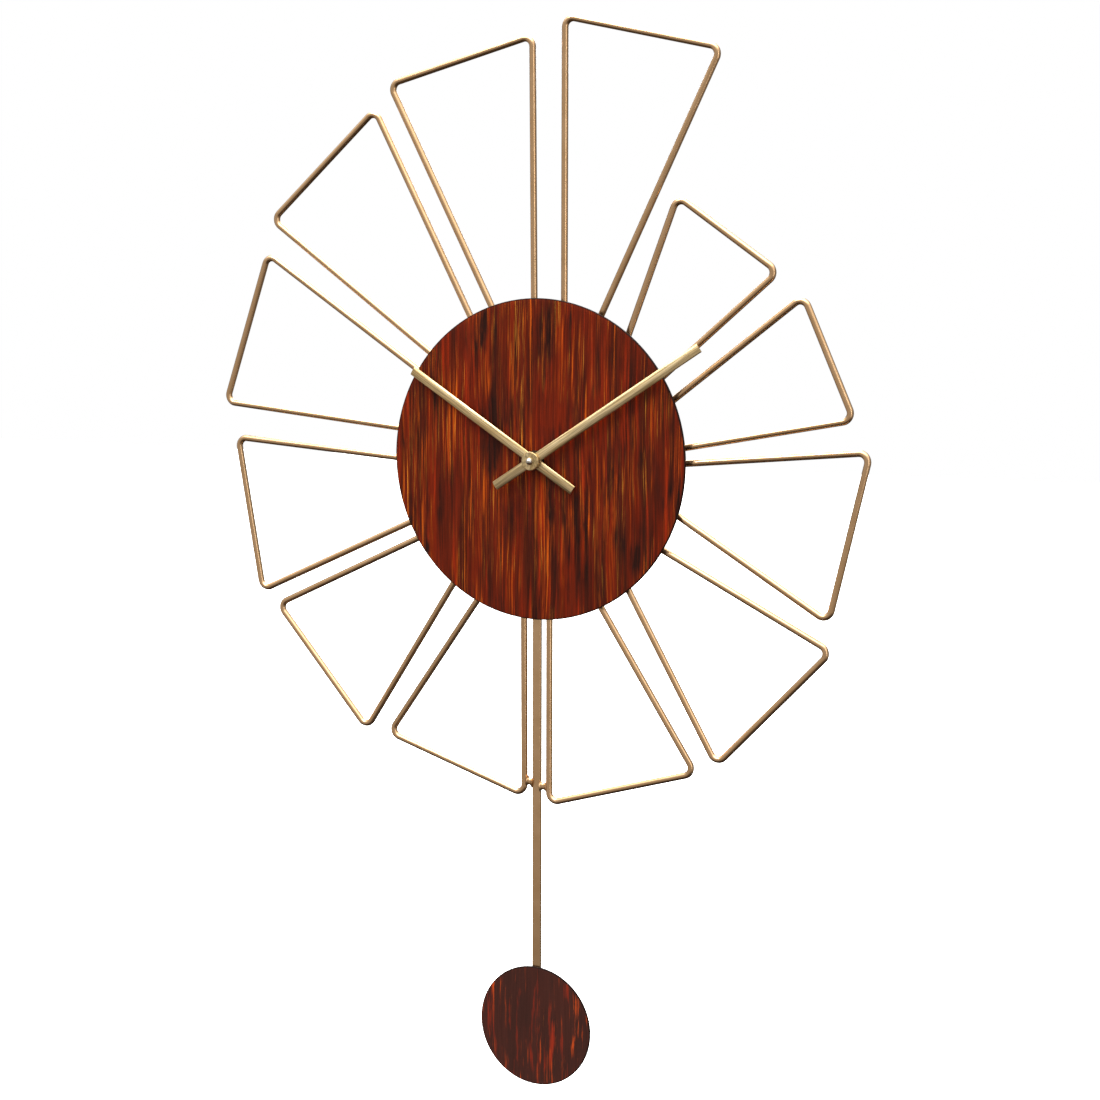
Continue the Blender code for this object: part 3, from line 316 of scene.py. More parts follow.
@dataclass(frozen=True)
class StreakedPaint(Finish):
    """Enamel dragged downwards with a dry brush in several colours, under clear lacquer.

    Each pass covers what its noise raises above a start, so a higher start leaves fewer streaks.
    """

    shadow: str = "#27110C"
    dark: str = "#43170B"
    ground: str = "#691C07"
    red: str = "#992A0A"
    orange: str = "#C4560F"
    yellow: str = "#EE9E38"
    # Painted shade: the rim colour darkens the plate's rolled edge all round, as if it lay in shade.
    rim: str = "#1C0D0A"
    centre: tuple[float, float] = (0.0, 0.0)
    radius: float = 115 * MM
    red_from: float = 0.54
    orange_from: float = 0.535
    yellow_from: float = 0.6
    glaze_from: float = 0.44
    width: float = 1.5 * MM
    length: float = 80 * MM
    bristle: tuple[float, float] = (0.5, 1.5)
    bristle_size: tuple[float, float, float] = (0.7 * MM, 0.7 * MM, 50 * MM)
    bristle_height: float = 0.05 * MM
    sway: tuple[float, float, float] = (5 * MM, 0, 12 * MM)
    sway_size: tuple[float, float, float] = (28 * MM, 28 * MM, 80 * MM)
    cluster_size: tuple[float, float, float] = (22 * MM, 22 * MM, 60 * MM)
    tide_size: tuple[float, float, float] = (26 * MM, 26 * MM, 48 * MM)
    gloss: tuple[float, float] = (0.34, 0.46)
    specular: float = 0.08
    rim_shade_start: float = 1.1 * MM
    rim_shade_full: float = 0.4 * MM

    def swayed(self, tree: bpy.types.NodeTree, plain: bpy.types.NodeSocket) -> bpy.types.NodeSocket:
        """Bends the coordinates, so that streaks waver as a hand does.

        Args:
            tree: The node tree.
            plain: The object's own coordinates.

        Returns:
            The bent coordinates.
        """
        sized = add_node(
            tree, "ShaderNodeMapping", {"Vector": plain, "Scale": self.sway_size}, vector_type="TEXTURE"
        ).outputs[0]
        noise = add_node(tree, "ShaderNodeTexNoise", {"Vector": sized, "Scale": 1.0, "Detail": 1.0})
        centred = add_node(
            tree,
            "ShaderNodeVectorMath",
            {0: noise.outputs["Color"], 1: (0.5, 0.5, 0.5)},
            operation="SUBTRACT",
        )
        shifted = add_node(
            tree,
            "ShaderNodeVectorMath",
            {0: centred.outputs[0], 1: self.sway, 2: plain},
            operation="MULTIPLY_ADD",
        )
        return shifted.outputs[0]

    def layer(
        self,
        tree: bpy.types.NodeTree,
        at: bpy.types.NodeSocket,
        wide: float,
        long: float,
        start: float,
        step: float,
        seed: float,
    ) -> bpy.types.NodeSocket:
        """One pass of the brush.

        Args:
            tree: The node tree.
            at: The coordinates.
            wide: Width of its streaks, as a share of the paint's own.
            long: Length of its streaks, as a share of the paint's own.
            start: The noise value above which its paint lies.
            step: How far above the start the paint is full.
            seed: Sets the pass apart from the others.

        Returns:
            Where its paint lies, from 0 to 1.
        """
        size = (self.width * wide, self.width * wide, self.length * long)
        noise = self.grain(tree, size, detail=4, at=at, seed=seed, roughness=0.6)
        return self.span(tree, noise, start, start + step)

    @staticmethod
    def both(
        tree: bpy.types.NodeTree, first: bpy.types.NodeSocket, second: bpy.types.NodeSocket
    ) -> bpy.types.NodeSocket:
        """Where two layers both lie."""
        made = add_node(tree, "ShaderNodeMath", {0: first, 1: second}, operation="MULTIPLY")
        return made.outputs[0]

    def colours(self, tree: bpy.types.NodeTree, at: bpy.types.NodeSocket) -> bpy.types.NodeSocket:
        """The passes of colour, with the bright ones in clusters, and the dark glaze over them.

        Args:
            tree: The node tree.
            at: The coordinates.

        Returns:
            The colour.
        """
        clusters = self.span(tree, self.grain(tree, self.cluster_size, at=at, seed=9.0), 0.4, 0.58)
        bands = self.layer(tree, at, 5.0, 1.6, 0.38, 0.24, 1.0)
        tone = self.mixed(tree, bands, self.dark, self.ground)
        reds = self.layer(tree, at, 2.0, 1.4, self.red_from, 0.16, 2.0)
        tone = self.mixed(tree, reds, tone, self.red)
        for colour, wide, long, start, seed in (
            (self.orange, 0.9, 1.0, self.orange_from, 4.0),
            (self.yellow, 0.5, 0.8, self.yellow_from, 6.0),
        ):
            here = self.layer(tree, at, wide, long, start, 0.12, seed)
            tone = self.mixed(tree, self.both(tree, here, clusters), tone, colour)
        glaze = self.layer(tree, at, 3.4, 0.8, self.glaze_from, 0.16, 8.0)
        tide = self.span(tree, self.grain(tree, self.tide_size, at=at, seed=11.0), 0.42, 0.6, 0.2, 1.0)
        return self.mixed(tree, self.both(tree, glaze, tide), tone, self.shadow)

    def edge(self, tree: bpy.types.NodeTree, plain: bpy.types.NodeSocket) -> bpy.types.NodeSocket:
        """Painted shade round the rim of the plate.

        Args:
            tree: The node tree.
            plain: The object's own coordinates.

        Returns:
            0 on the plate's face, rising to 1 at its edge.
        """
        middle = (self.centre[0], 0, self.centre[1])
        offset = add_node(tree, "ShaderNodeVectorMath", {0: plain, 1: middle}, operation="SUBTRACT")
        flat = add_node(
            tree, "ShaderNodeVectorMath", {0: offset.outputs[0], 1: (1, 0, 1)}, operation="MULTIPLY"
        )
        out = add_node(tree, "ShaderNodeVectorMath", {0: flat.outputs[0]}, operation="LENGTH")
        start, full = self.radius - self.rim_shade_start, self.radius - self.rim_shade_full
        return self.span(tree, out.outputs["Value"], start, full)

    def paint(self, tree: bpy.types.NodeTree, shader: bpy.types.Node) -> None:
        """Ground, red, orange and yellow passes, then dark glaze, bristle marks and painted shade round
        the rim.

        Args:
            tree: The material's node tree.
            shader: Its Principled BSDF.
        """
        plain = add_node(tree, "ShaderNodeTexCoord").outputs["Object"]
        at = self.swayed(tree, plain)
        tone = self.colours(tree, at)
        # Bristle marks are a quarter of a millimetre apart. They are drawn coarser, to show.
        bristles = self.grain(tree, self.bristle_size, detail=3, at=at, seed=5.0, roughness=0.7)
        streak = self.spread(tree, bristles, *self.bristle)
        grey = add_node(tree, "ShaderNodeCombineColor", {0: streak, 1: streak, 2: streak})
        tone = self.mixed(tree, 1.0, tone, grey.outputs[0], "MULTIPLY")
        # Painted shade: the plate's edge is mixed towards the dark rim colour.
        rim_shaded = self.mixed(tree, self.edge(tree, plain), tone, self.rim)
        tree.links.new(rim_shaded, shader.inputs["Base Color"])
        tree.links.new(self.spread(tree, bristles, *self.gloss), shader.inputs["Roughness"])
        shader.inputs["Specular IOR Level"].default_value = self.specular
        self.relief(tree, shader, bristles, self.bristle_height)


@dataclass(frozen=True)
class BrushedBrass(Finish):
    """Brass drawn through a fine abrasive belt, lengthways, and lacquered."""

    name: str = "brushed_brass"
    bright: str = "#E4CDA0"
    tarnish: str = "#C2A470"
    bearing: float = 0.0
    scratch: float = 1.1 * MM
    run: float = 50 * MM
    contrast: tuple[float, float] = (0.48, 1.22)
    gloss: tuple[float, float] = (0.3, 0.46)
    depth: float = 0.03 * MM

    def paint(self, tree: bpy.types.NodeTree, shader: bpy.types.Node) -> None:
        """Long fine scratches along the piece, and a slow change of tone.

        Args:
            tree: The material's node tree.
            shader: Its Principled BSDF.
        """
        # Belt scratches are a twentieth of a millimetre wide. They are drawn coarser, to show.
        size = (self.scratch, self.scratch, self.run)
        scratches = self.grain(tree, size, detail=3, turn=self.bearing, roughness=0.7)
        clouds = self.grain(tree, (3 * MM, 3 * MM, 30 * MM), turn=self.bearing, seed=2.0)
        worn = self.span(tree, clouds, 0.35, 0.7)
        base = self.mixed(tree, worn, self.bright, self.tarnish)
        lines = self.span(tree, scratches, 0.34, 0.66, *self.contrast)
        grey = add_node(tree, "ShaderNodeCombineColor", {0: lines, 1: lines, 2: lines})
        tone = self.mixed(tree, 1.0, base, grey.outputs[0], "MULTIPLY")
        tree.links.new(tone, shader.inputs["Base Color"])
        shader.inputs["Metallic"].default_value = 1.0
        tree.links.new(self.spread(tree, scratches, *self.gloss), shader.inputs["Roughness"])
        self.relief(tree, shader, scratches, self.depth)


@dataclass(frozen=True)
class PlatedMetal(Finish):
    """Plated or rolled metal: even, with a faint cloud and fine handling marks."""

    name: str = "bright_zinc_plate"
    light: str = "#C9CCD0"
    dull: str = "#9FA4AA"
    low: float = 0.24
    high: float = 0.42
    cloud: float = 5 * MM
    mark: float = 0.7 * MM
    mark_depth: float = 0.01 * MM

    def paint(self, tree: bpy.types.NodeTree, shader: bpy.types.Node) -> None:
        """A cloudy plating with small pits.

        Args:
            tree: The material's node tree.
            shader: Its Principled BSDF.
        """
        clouds = self.grain(tree, (self.cloud,) * 3, detail=3)
        marks = self.grain(tree, (self.mark,) * 3, detail=2, seed=4.0)
        share = self.span(tree, clouds, 0.35, 0.65)
        tree.links.new(self.mixed(tree, share, self.light, self.dull), shader.inputs["Base Color"])
        shader.inputs["Metallic"].default_value = 1.0
        roughness = self.spread(tree, marks, self.low, self.high)
        tree.links.new(roughness, shader.inputs["Roughness"])
        self.relief(tree, shader, marks, self.mark_depth)


@dataclass(frozen=True)
class MouldedPlastic(Finish):
    """Injection moulded plastic, with the texture that was etched into its mould."""

    name: str = "black_abs"
    colour: str = "#1B1B1D"
    second: str = "#232326"
    texture: float = 0.6 * MM
    depth: float = 0.03 * MM
    flow: float = 18 * MM
    rough: float = 0.5
    specular: float = 0.5

    def paint(self, tree: bpy.types.NodeTree, shader: bpy.types.Node) -> None:
        """Fine spark texture, with a slow change of tone from the flow in the mould.

        Args:
            tree: The material's node tree.
            shader: Its Principled BSDF.
        """
        # Spark texture is a tenth of a millimetre across. It is drawn coarser, to show.
        sparks = self.grain(tree, (self.texture,) * 3, detail=3)
        flow = self.grain(tree, (self.flow,) * 3, seed=7.0)
        share = self.span(tree, flow, 0.35, 0.65)
        tree.links.new(self.mixed(tree, share, self.colour, self.second), shader.inputs["Base Color"])
        gloss = self.spread(tree, sparks, self.rough - 0.08, self.rough + 0.1)
        tree.links.new(gloss, shader.inputs["Roughness"])
        shader.inputs["Specular IOR Level"].default_value = self.specular
        self.relief(tree, shader, sparks, self.depth)


@dataclass(frozen=True)
class CopperWinding(Finish):
    """Enamelled copper wire wound in close turns along X."""

    name: str = "enamelled_copper_winding"
    copper: str = "#B4602F"
    # Painted shade: the colour laid in the grooves between turns.
    crevice_shade: str = "#5A2412"
    pitch: float = 0.3 * MM
    depth: float = 0.05 * MM

    def paint(self, tree: bpy.types.NodeTree, shader: bpy.types.Node) -> None:
        """Round turns side by side, dark between them.

        Args:
            tree: The material's node tree.
            shader: Its Principled BSDF.
        """
        # The wire is a few hundredths of a millimetre thick. Its turns are drawn coarser.
        where = add_node(tree, "ShaderNodeTexCoord").outputs["Object"]
        mapping = add_node(
            tree,
            "ShaderNodeMapping",
            {"Vector": where, "Scale": (self.pitch,) * 3},
            vector_type="TEXTURE",
        )
        turns = add_node(
            tree,
            "ShaderNodeTexWave",
            {"Vector": mapping.outputs[0], "Scale": 1 / math.tau, "Distortion": 0.4},
            bands_direction="X",
        ).outputs["Fac"]
        # Painted shade darkens the grooves between the turns.
        tree.links.new(self.mixed(tree, turns, self.crevice_shade, self.copper), shader.inputs["Base Color"])
        shader.inputs["Metallic"].default_value = 0.8
        tree.links.new(self.span(tree, turns, 0, 1, 0.5, 0.3), shader.inputs["Roughness"])
        self.relief(tree, shader, turns, self.depth)


@dataclass(frozen=True)
class StudioFloor(Finish):
    """A plain white painted floor, lit from within like a light table."""

    name: str = "white_studio_floor"
    roller: float = 0.3
    glow: float = 0.9

    def paint(self, tree: bpy.types.NodeTree, shader: bpy.types.Node) -> None:
        """A pale, nearly even roller finish.

        Args:
            tree: The material's node tree.
            shader: Its Principled BSDF.
        """
        rolled = self.grain(tree, (self.roller,) * 3)
        share = self.spread(tree, rolled)
        tree.links.new(self.mixed(tree, share, "#FAFAF9", "#F4F4F2"), shader.inputs["Base Color"])
        shader.inputs["Roughness"].default_value = 0.9
        shader.inputs["Emission Color"].default_value = linear("#FFFFFF")
        shader.inputs["Emission Strength"].default_value = self.glow


GOLD = SatinGoldLacquer()
DISC_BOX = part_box("pendulum_disc")
DISC_MIDDLE = (DISC_BOX[0] + DISC_BOX[1]) / 2
DIAL_PAINT = StreakedPaint("streaked_dial_enamel")
DISC_PAINT = StreakedPaint(
    "streaked_disc_enamel",
    shadow="#33201C",
    dark="#3A211C",
    ground="#43231D",
    red="#8E2B18",
    orange="#CC4E1A",
    yellow="#C87A38",
    # Painted shade: the disc's rolled edge is darkened all round with this colour.
    rim="#170C0B",
    centre=(DISC_MIDDLE.x, DISC_MIDDLE.z),
    radius=(DISC_BOX[1].x - DISC_BOX[0].x) / 2,
    red_from=0.55,
    orange_from=0.56,
    yellow_from=0.66,
    glaze_from=0.56,
    width=2.2 * MM,
    length=38 * MM,
    bristle=(0.85, 1.15),
)
BACK_ENAMEL = MouldedPlastic(
    "plain_back_enamel", "#2A1611", "#331B14", texture=1.5 * MM, depth=0.02 * MM, rough=0.42
)
ZINC = PlatedMetal()
# Painted shade: brass darkened all over to the tone it shows in the shade under the hands.
SHADE_DARKENED_BRASS = PlatedMetal("shade_darkened_brass", "#4A3826", "#2C2118", low=0.32, high=0.48)
BLACK_OXIDE = PlatedMetal("black_oxide_steel", "#3A3533", "#262221", low=0.3, high=0.45)
NICKEL = PlatedMetal("bright_nickel_plate", "#D5D1C8", "#B4B0A6", low=0.16, high=0.3)
SHEET_IRON = PlatedMetal("rolled_electrical_steel", "#85878A", "#6C6E72", low=0.36, high=0.5)
BLACK_ABS = MouldedPlastic()
WHITE_ACETAL = MouldedPlastic("white_acetal", "#E6E3DA", "#DCD8CC", depth=0.01 * MM, rough=0.38)
NITRILE = MouldedPlastic("nitrile_rubber", "#141414", "#1D1C1B", rough=0.8, specular=0.25)
SOLDER_MASK = MouldedPlastic("green_solder_mask", "#0F4A26", "#17602F", depth=0.015 * MM, rough=0.35)
EPOXY = MouldedPlastic("black_epoxy_resin", "#101011", "#18181A", depth=0.01 * MM, rough=0.3)
BATTERY_FILM = MouldedPlastic(
    "shrink_wrap_film", "#27364A", "#2E3F55", texture=2 * MM, depth=0.01 * MM, rough=0.24
)
BATTERY_BAND = MouldedPlastic(
    "shrink_wrap_band", "#B9BDC2", "#A9AEB4", texture=2 * MM, depth=0.01 * MM, rough=0.26
)
COPPER = CopperWinding()


# ---------------------------------------------------------------- modelling
def clear_selection() -> None:
    """Leaves nothing selected, so that an operator acts only on what is picked next."""
    if bpy.context.object is not None and bpy.context.object.mode != "OBJECT":
        bpy.ops.object.mode_set(mode="OBJECT")
    bpy.ops.object.select_all(action="DESELECT")


def pick_all() -> None:
    """Selects the whole mesh, in edit mode."""
    bpy.ops.mesh.select_all(action="SELECT")


class Piece:
    """One piece in the making. Its object stays at the origin, and its place is in its mesh."""

    def __init__(self, name: str, add: Callable[..., Any], **size: Any) -> None:
        """Adds the primitive that the piece starts from.

        Args:
            name: The piece's name.
            add: The operator that adds the primitive.
            **size: Its size, place and turn.
        """
        clear_selection()
        add(**size)
        self.obj = bpy.context.object
        self.settle(name)

    @classmethod
    def from_solid(cls, node: str, name: str) -> "Piece":
        """Starts a piece from a merged copy of a solid's own mesh.

        Args:
            node: The solid's node.
            name: The piece's name.

        Returns:
            The new piece.
        """
        clear_selection()
        piece = cls.__new__(cls)
        piece.obj = bpy.data.objects.new(name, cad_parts[node].data.copy())
        bpy.context.scene.collection.objects.link(piece.obj)
        piece.obj.data.name = name
        piece.obj.data.materials.clear()
        with piece.editing(Element.VERT):
            pick_all()
            bpy.ops.mesh.remove_doubles(threshold=SAME_POINT)
            bpy.ops.mesh.dissolve_limited(angle_limit=math.radians(0.5))
        return piece

    @classmethod
    def turned(
        cls, name: str, profile: Sequence[Vector], centre: Vector, axis: Vector, steps: int
    ) -> "Piece":
        """Turns an open or closed line of points once round an axis.

        Args:
            name: The piece's name.
            profile: The points, which lie in a plane through the axis.
            centre: A point on the axis.
            axis: The axis's direction.
            steps: How many steps the turn takes.

        Returns:
            The turned piece.
        """
        piece = cls(name, bpy.ops.mesh.primitive_plane_add, size=MM, location=profile[0])
        with piece.editing(Element.VERT):
            pick_all()
            bpy.ops.mesh.merge(type="CENTER")
            for here, ahead in zip(profile, profile[1:]):
                piece.extrude(ahead - here)
            pick_all()
            bpy.ops.mesh.spin(steps=steps, angle=math.tau, center=centre, axis=axis)
            pick_all()
            bpy.ops.mesh.remove_doubles(threshold=SAME_POINT)
            bpy.ops.mesh.normals_make_consistent(inside=False)
        return piece

    def settle(self, name: str) -> None:
        """Names the piece and moves its place, turn and size into its mesh.

        Args:
            name: The piece's name.
        """
        self.obj.name = name
        self.obj.data.name = name
        bpy.ops.object.transform_apply(location=True, rotation=True, scale=True)

    def take_up(self) -> None:
        """Makes this piece the only selected one."""
        clear_selection()
        self.obj.select_set(True)
        bpy.context.view_layer.objects.active = self.obj

    @contextmanager
    def editing(self, kind: Element = Element.FACE) -> Iterator[None]:
        """Opens the piece in edit mode with nothing selected, and closes it afterwards.

        Args:
            kind: What a selection is made of meanwhile.
        """
        self.take_up()
        bpy.ops.object.mode_set(mode="EDIT")
        bpy.ops.mesh.select_mode(type=kind.value)
        bpy.ops.mesh.select_all(action="DESELECT")
        yield
        bpy.ops.object.mode_set(mode="OBJECT")

    def pick(self, test: Callable[[Any], bool]) -> None:
        """Selects the verts, edges or faces that pass a test, in edit mode.

        Args:
            test: Says of one element whether it is wanted.
        """
        shell = bmesh.from_edit_mesh(self.obj.data)
        kind = next(iter(shell.select_mode))
        elements = {"VERT": shell.verts, "EDGE": shell.edges, "FACE": shell.faces}[kind]
        for element in elements:
            element.select_set(bool(test(element)))
        shell.select_flush_mode()
        bmesh.update_edit_mesh(self.obj.data)

    def extrude(self, by: Vector) -> None:
        """Draws the selection out by a vector, in edit mode."""
        bpy.ops.mesh.extrude_region_move(TRANSFORM_OT_translate={"value": by})

    def modify(self, kind: str, **settings: Any) -> "Piece":
        """Adds a modifier and applies it.

        Args:
            kind: The modifier's type.
            **settings: Its settings.

        Returns:
            The piece itself.
        """
        self.take_up()
        step = self.obj.modifiers.new(kind.title(), kind)
        for key, value in settings.items():
            setattr(step, key, value)
        bpy.ops.object.modifier_apply(modifier=step.name)
        return self

    def soften(self, width: float, segments: int = 2, angle: float = 30) -> "Piece":
        """Rounds every edge that is sharper than an angle in degrees."""
        return self.modify(
            "BEVEL",
            width=width,
            segments=segments,
            limit_method="ANGLE",
            angle_limit=math.radians(angle),
            harden_normals=False,
        )

    def cut(self, tool: "Piece", operation: str = "DIFFERENCE") -> "Piece":
        """Cuts another piece from this one, or joins it on, and clears the other away.

        Args:
            tool: The other piece.
            operation: The kind of boolean.

        Returns:
            The piece itself.
        """
        self.modify("BOOLEAN", object=tool.obj, operation=operation, solver="EXACT")
        bpy.data.objects.remove(tool.obj, do_unlink=True)
        return self

    def take_in(self, others: Sequence["Piece"]) -> "Piece":
        """Joins other pieces' meshes to this one as loose shells.

        Args:
            others: The pieces, which are used up.

        Returns:
            The piece itself.
        """
        self.take_up()
        for other in others:
            other.obj.select_set(True)
        bpy.ops.object.join()
        return self

    def copy(self, name: str) -> "Piece":
        """Copies the piece with its own mesh.

        Args:
            name: The copy's name.

        Returns:
            The copy.
        """
        made = Piece.__new__(Piece)
        made.obj = bpy.data.objects.new(name, self.obj.data.copy())
        made.obj.data.name = name
        bpy.context.scene.collection.objects.link(made.obj)
        return made

    def move(self, by: Vector, turn: float = 0.0, about: Vector | None = None) -> "Piece":
        """Turns the piece clockwise seen from the front, about a point, and then moves it.

        Args:
            by: How far it moves.
            turn: How far it turns, in degrees.
            about: The point that it turns about. The hand axis unless given.

        Returns:
            The piece itself.
        """
        with self.editing(Element.VERT):
            pick_all()
            if turn:
                bpy.ops.transform.rotate(
                    value=-math.radians(turn),
                    orient_axis="Y",
                    orient_type="GLOBAL",
                    center_override=about or Vector(),
                )
            bpy.ops.transform.translate(value=by)
        return self

    def done(
        self,
        body: Body,
        slot: Slot,
        finish: Finish,
        replaces: Sequence[str] = (),
        smooth: float = 35,
    ) -> "Piece":
        """Shades and dresses the piece and puts it on its body.

        Args:
            body: The body it rides on.
            slot: The record's slot that its finish stands for. It is not used.
            finish: Its main finish.
            replaces: The solids that it stands for.
            smooth: Edges sharper than this, in degrees, stay sharp.

        Returns:
            The piece itself.
        """
        self.take_up()
        self.obj.data.materials.clear()
        self.obj.data.materials.append(finish.material())
        bpy.ops.object.shade_smooth_by_angle(angle=math.radians(smooth))
        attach(self.obj, body.value)
        if replaces:
            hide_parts(*replaces)
        LOG.info("%s rides on %s", self.obj.name, body.value)
        return self

    def face_with(self, finish: Finish, test: Callable[[Any], bool]) -> "Piece":
        """Gives the faces that pass a test a finish of their own.

        Args:
            finish: Their finish.
            test: Says of one face whether it is one of them.

        Returns:
            The piece itself.
        """
        self.obj.data.materials.append(finish.material())
        with self.editing():
            self.pick(test)
            self.obj.active_material_index = len(self.obj.data.materials) - 1
            bpy.ops.object.material_slot_assign()
        return self


def section(rows: Sequence[tuple[float, float]], centre: Vector | None = None) -> list[Vector]:
    """The points of half a section, each given as its radius and its height off the wall."""
    middle = centre or Vector()
    return [Vector((middle.x + out, -height, middle.z)) for out, height in rows]


def quarter_turn(steps: int) -> Iterator[float]:
    """The angles from 0 to a quarter of a turn, in equal steps."""
    return (math.pi / 2 * step / steps for step in range(steps + 1))


def heights(node: str) -> tuple[float, float]:
    """The heights off the wall of a solid's back and front."""
    low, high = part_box(node)
    return (-high.y, -low.y)


def bearing_vector(bearing: float) -> Vector:
    """The direction across the dial on a clock bearing."""
    angle = math.radians(bearing)
    return Vector((math.sin(angle), 0, math.cos(angle)))


# ---------------------------------------------------------------- wire frame
@dataclass
class Ray:
    """One open ray, bent from a single wire. Lengths are in millimetres, angles in degrees.

    Attributes:
        reach: From the hand axis to the middle of the outer edge.
        bearing: Clock bearing of that middle point.
        lean: How far the ray points clockwise of that bearing.
        splay: The angle between its legs.
        edge: Length of the outer edge, corner to corner.
        bend: Radius of the wire's middle line at a bend.
        sides: How many sides the wire's round section has.
        bend_steps: How many steps each bend takes.
    """

    reach: float
    bearing: float
    lean: float
    splay: float
    edge: float = 119.5
    bend: float = 6.0
    sides: int = 24
    bend_steps: int = 12

    @property
    def heading(self) -> float:
        """The bearing in which the ray points."""
        return self.bearing + self.lean

    def corner(self, side: int, height: float) -> Vector:
        """Finds an outer corner, before it is rounded.

        Args:
            side: -1 for the corner on the anticlockwise side, 1 for the other.
            height: Height off the wall.

        Returns:
            The corner.
        """
        middle = bearing_vector(self.bearing) * self.reach
        across = bearing_vector(self.heading + 90) * (side * self.edge / 2)
        return (middle + across) * MM + FRONT * height

    def leg_bearing(self, side: int) -> float:
        """The bearing in which a leg runs from its corner towards the dial."""
        return self.heading + 180 + side * self.splay / 2

    def inward(self, side: int) -> Vector:
        """The direction in which a leg runs from its corner towards the dial."""
        return bearing_vector(self.leg_bearing(side))

    @property
    def turn(self) -> float:
        """How far the wire turns at each corner."""
        return 90 + self.splay / 2

    def leg_end(self, side: int, radius: float, height: float) -> Vector:
        """Finds where a leg's middle line meets a circle round the hand axis.

        Args:
            side: -1 for the anticlockwise leg, 1 for the other.
            radius: The circle's radius.
            height: Height off the wall.

        Returns:
            The point where they meet.
        """
        corner = self.corner(side, 0)
        inward = self.inward(side)
        along = -corner.dot(inward)
        missed = corner.length_squared - along * along
        return corner + inward * (along - math.sqrt(radius * radius - missed)) + FRONT * height

    def wire(self, name: str, radius: float, height: float, foot: float) -> Piece:
        """Bends the wire: a leg, a bend, the outer edge, a bend and the other leg.

        Args:
            name: The piece's name.
            radius: The wire's radius.
            height: The height of its middle line off the wall.
            foot: The radius about the hand axis at which its legs end.

        Returns:
            The wire.
        """
        start = self.leg_end(-1, foot, height)
        tangent = self.bend * MM * math.tan(math.radians(self.turn / 2))
        outward = -self.inward(-1)
        piece = Piece(
            name,
            bpy.ops.mesh.primitive_circle_add,
            vertices=self.sides,
            radius=radius,
            fill_type="NGON",
            location=start,
            rotation=(0, math.atan2(outward.x, outward.z), 0),
        )
        with piece.editing():
            pick_all()
            here = start
            for side in (-1, 1):
                corner = self.corner(side, height)
                along = (corner - here).normalized()
                into = corner - along * tangent
                piece.extrude(into - here)
                centre = into + along.cross(FRONT) * (self.bend * MM)
                bpy.ops.mesh.spin(
                    steps=self.bend_steps, angle=math.radians(self.turn), center=centre, axis=FRONT
                )
                onward = bearing_vector(self.heading + 90) if side < 0 else self.inward(1)
                here = corner + onward * tangent
            piece.extrude(self.leg_end(1, foot, height) - here)
            pick_all()
            bpy.ops.mesh.normals_make_consistent(inside=False)
        return piece


@dataclass
class WeldedTie:
    """A short tie between the drop bar and a leg, thick at both ends where the weld ran.

    Attributes:
        node: The solid that it stands for.
        lean: Degrees clockwise that it is turned from level.
        flare: How much thicker its ends are than its middle.
        curve: How suddenly it thickens.
        flatness: Its depth as a share of its height.
        sink: How far each end runs into its neighbour.
        tip: How far the rounded end reaches past that.
        steps: How many steps its section takes from end to end.
        sides: How many steps the turn takes.
    """

    node: str
    lean: float = 0.0
    flare: float = 0.75
    curve: float = 2.2
    flatness: float = 0.62
    sink: float = 0.5 * MM
    tip: float = 1.0 * MM
    steps: int = 12
    sides: int = 24

    def build(self, radius: float, height: float) -> None:
        """Turns the tie, flattens it and leans it over.

        Args:
            radius: Its radius in the middle.
            height: Height of its middle line off the wall.
        """
        low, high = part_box(self.node)
        middle = Vector(((low.x + high.x) / 2, -height, (low.z + high.z) / 2))
        half = (high.x - low.x) / 2 + self.sink
        shares = [2 * step / self.steps - 1 for step in range(self.steps + 1)]
        waist = [(half * one, radius * (1 + self.flare * abs(one) ** self.curve)) for one in shares]
        ends = [(half + self.tip * 0.6, radius * 1.35), (half + self.tip, 0.0)]
        rows = [(-along, out) for along, out in reversed(ends)] + waist + ends
        profile = [middle + Vector((along, 0, out)) for along, out in rows]
        tie = Piece.turned(f"{self.node}_weld", profile, profile[0], RIGHT, self.sides)
        with tie.editing(Element.VERT):
            pick_all()
            bpy.ops.transform.resize(value=(1, self.flatness, 1), center_override=middle)
        tie.move(Vector(), turn=self.lean, about=middle)
        tie.done(Body.FRAME, Slot.GOLD, GOLD, [self.node], smooth=60)


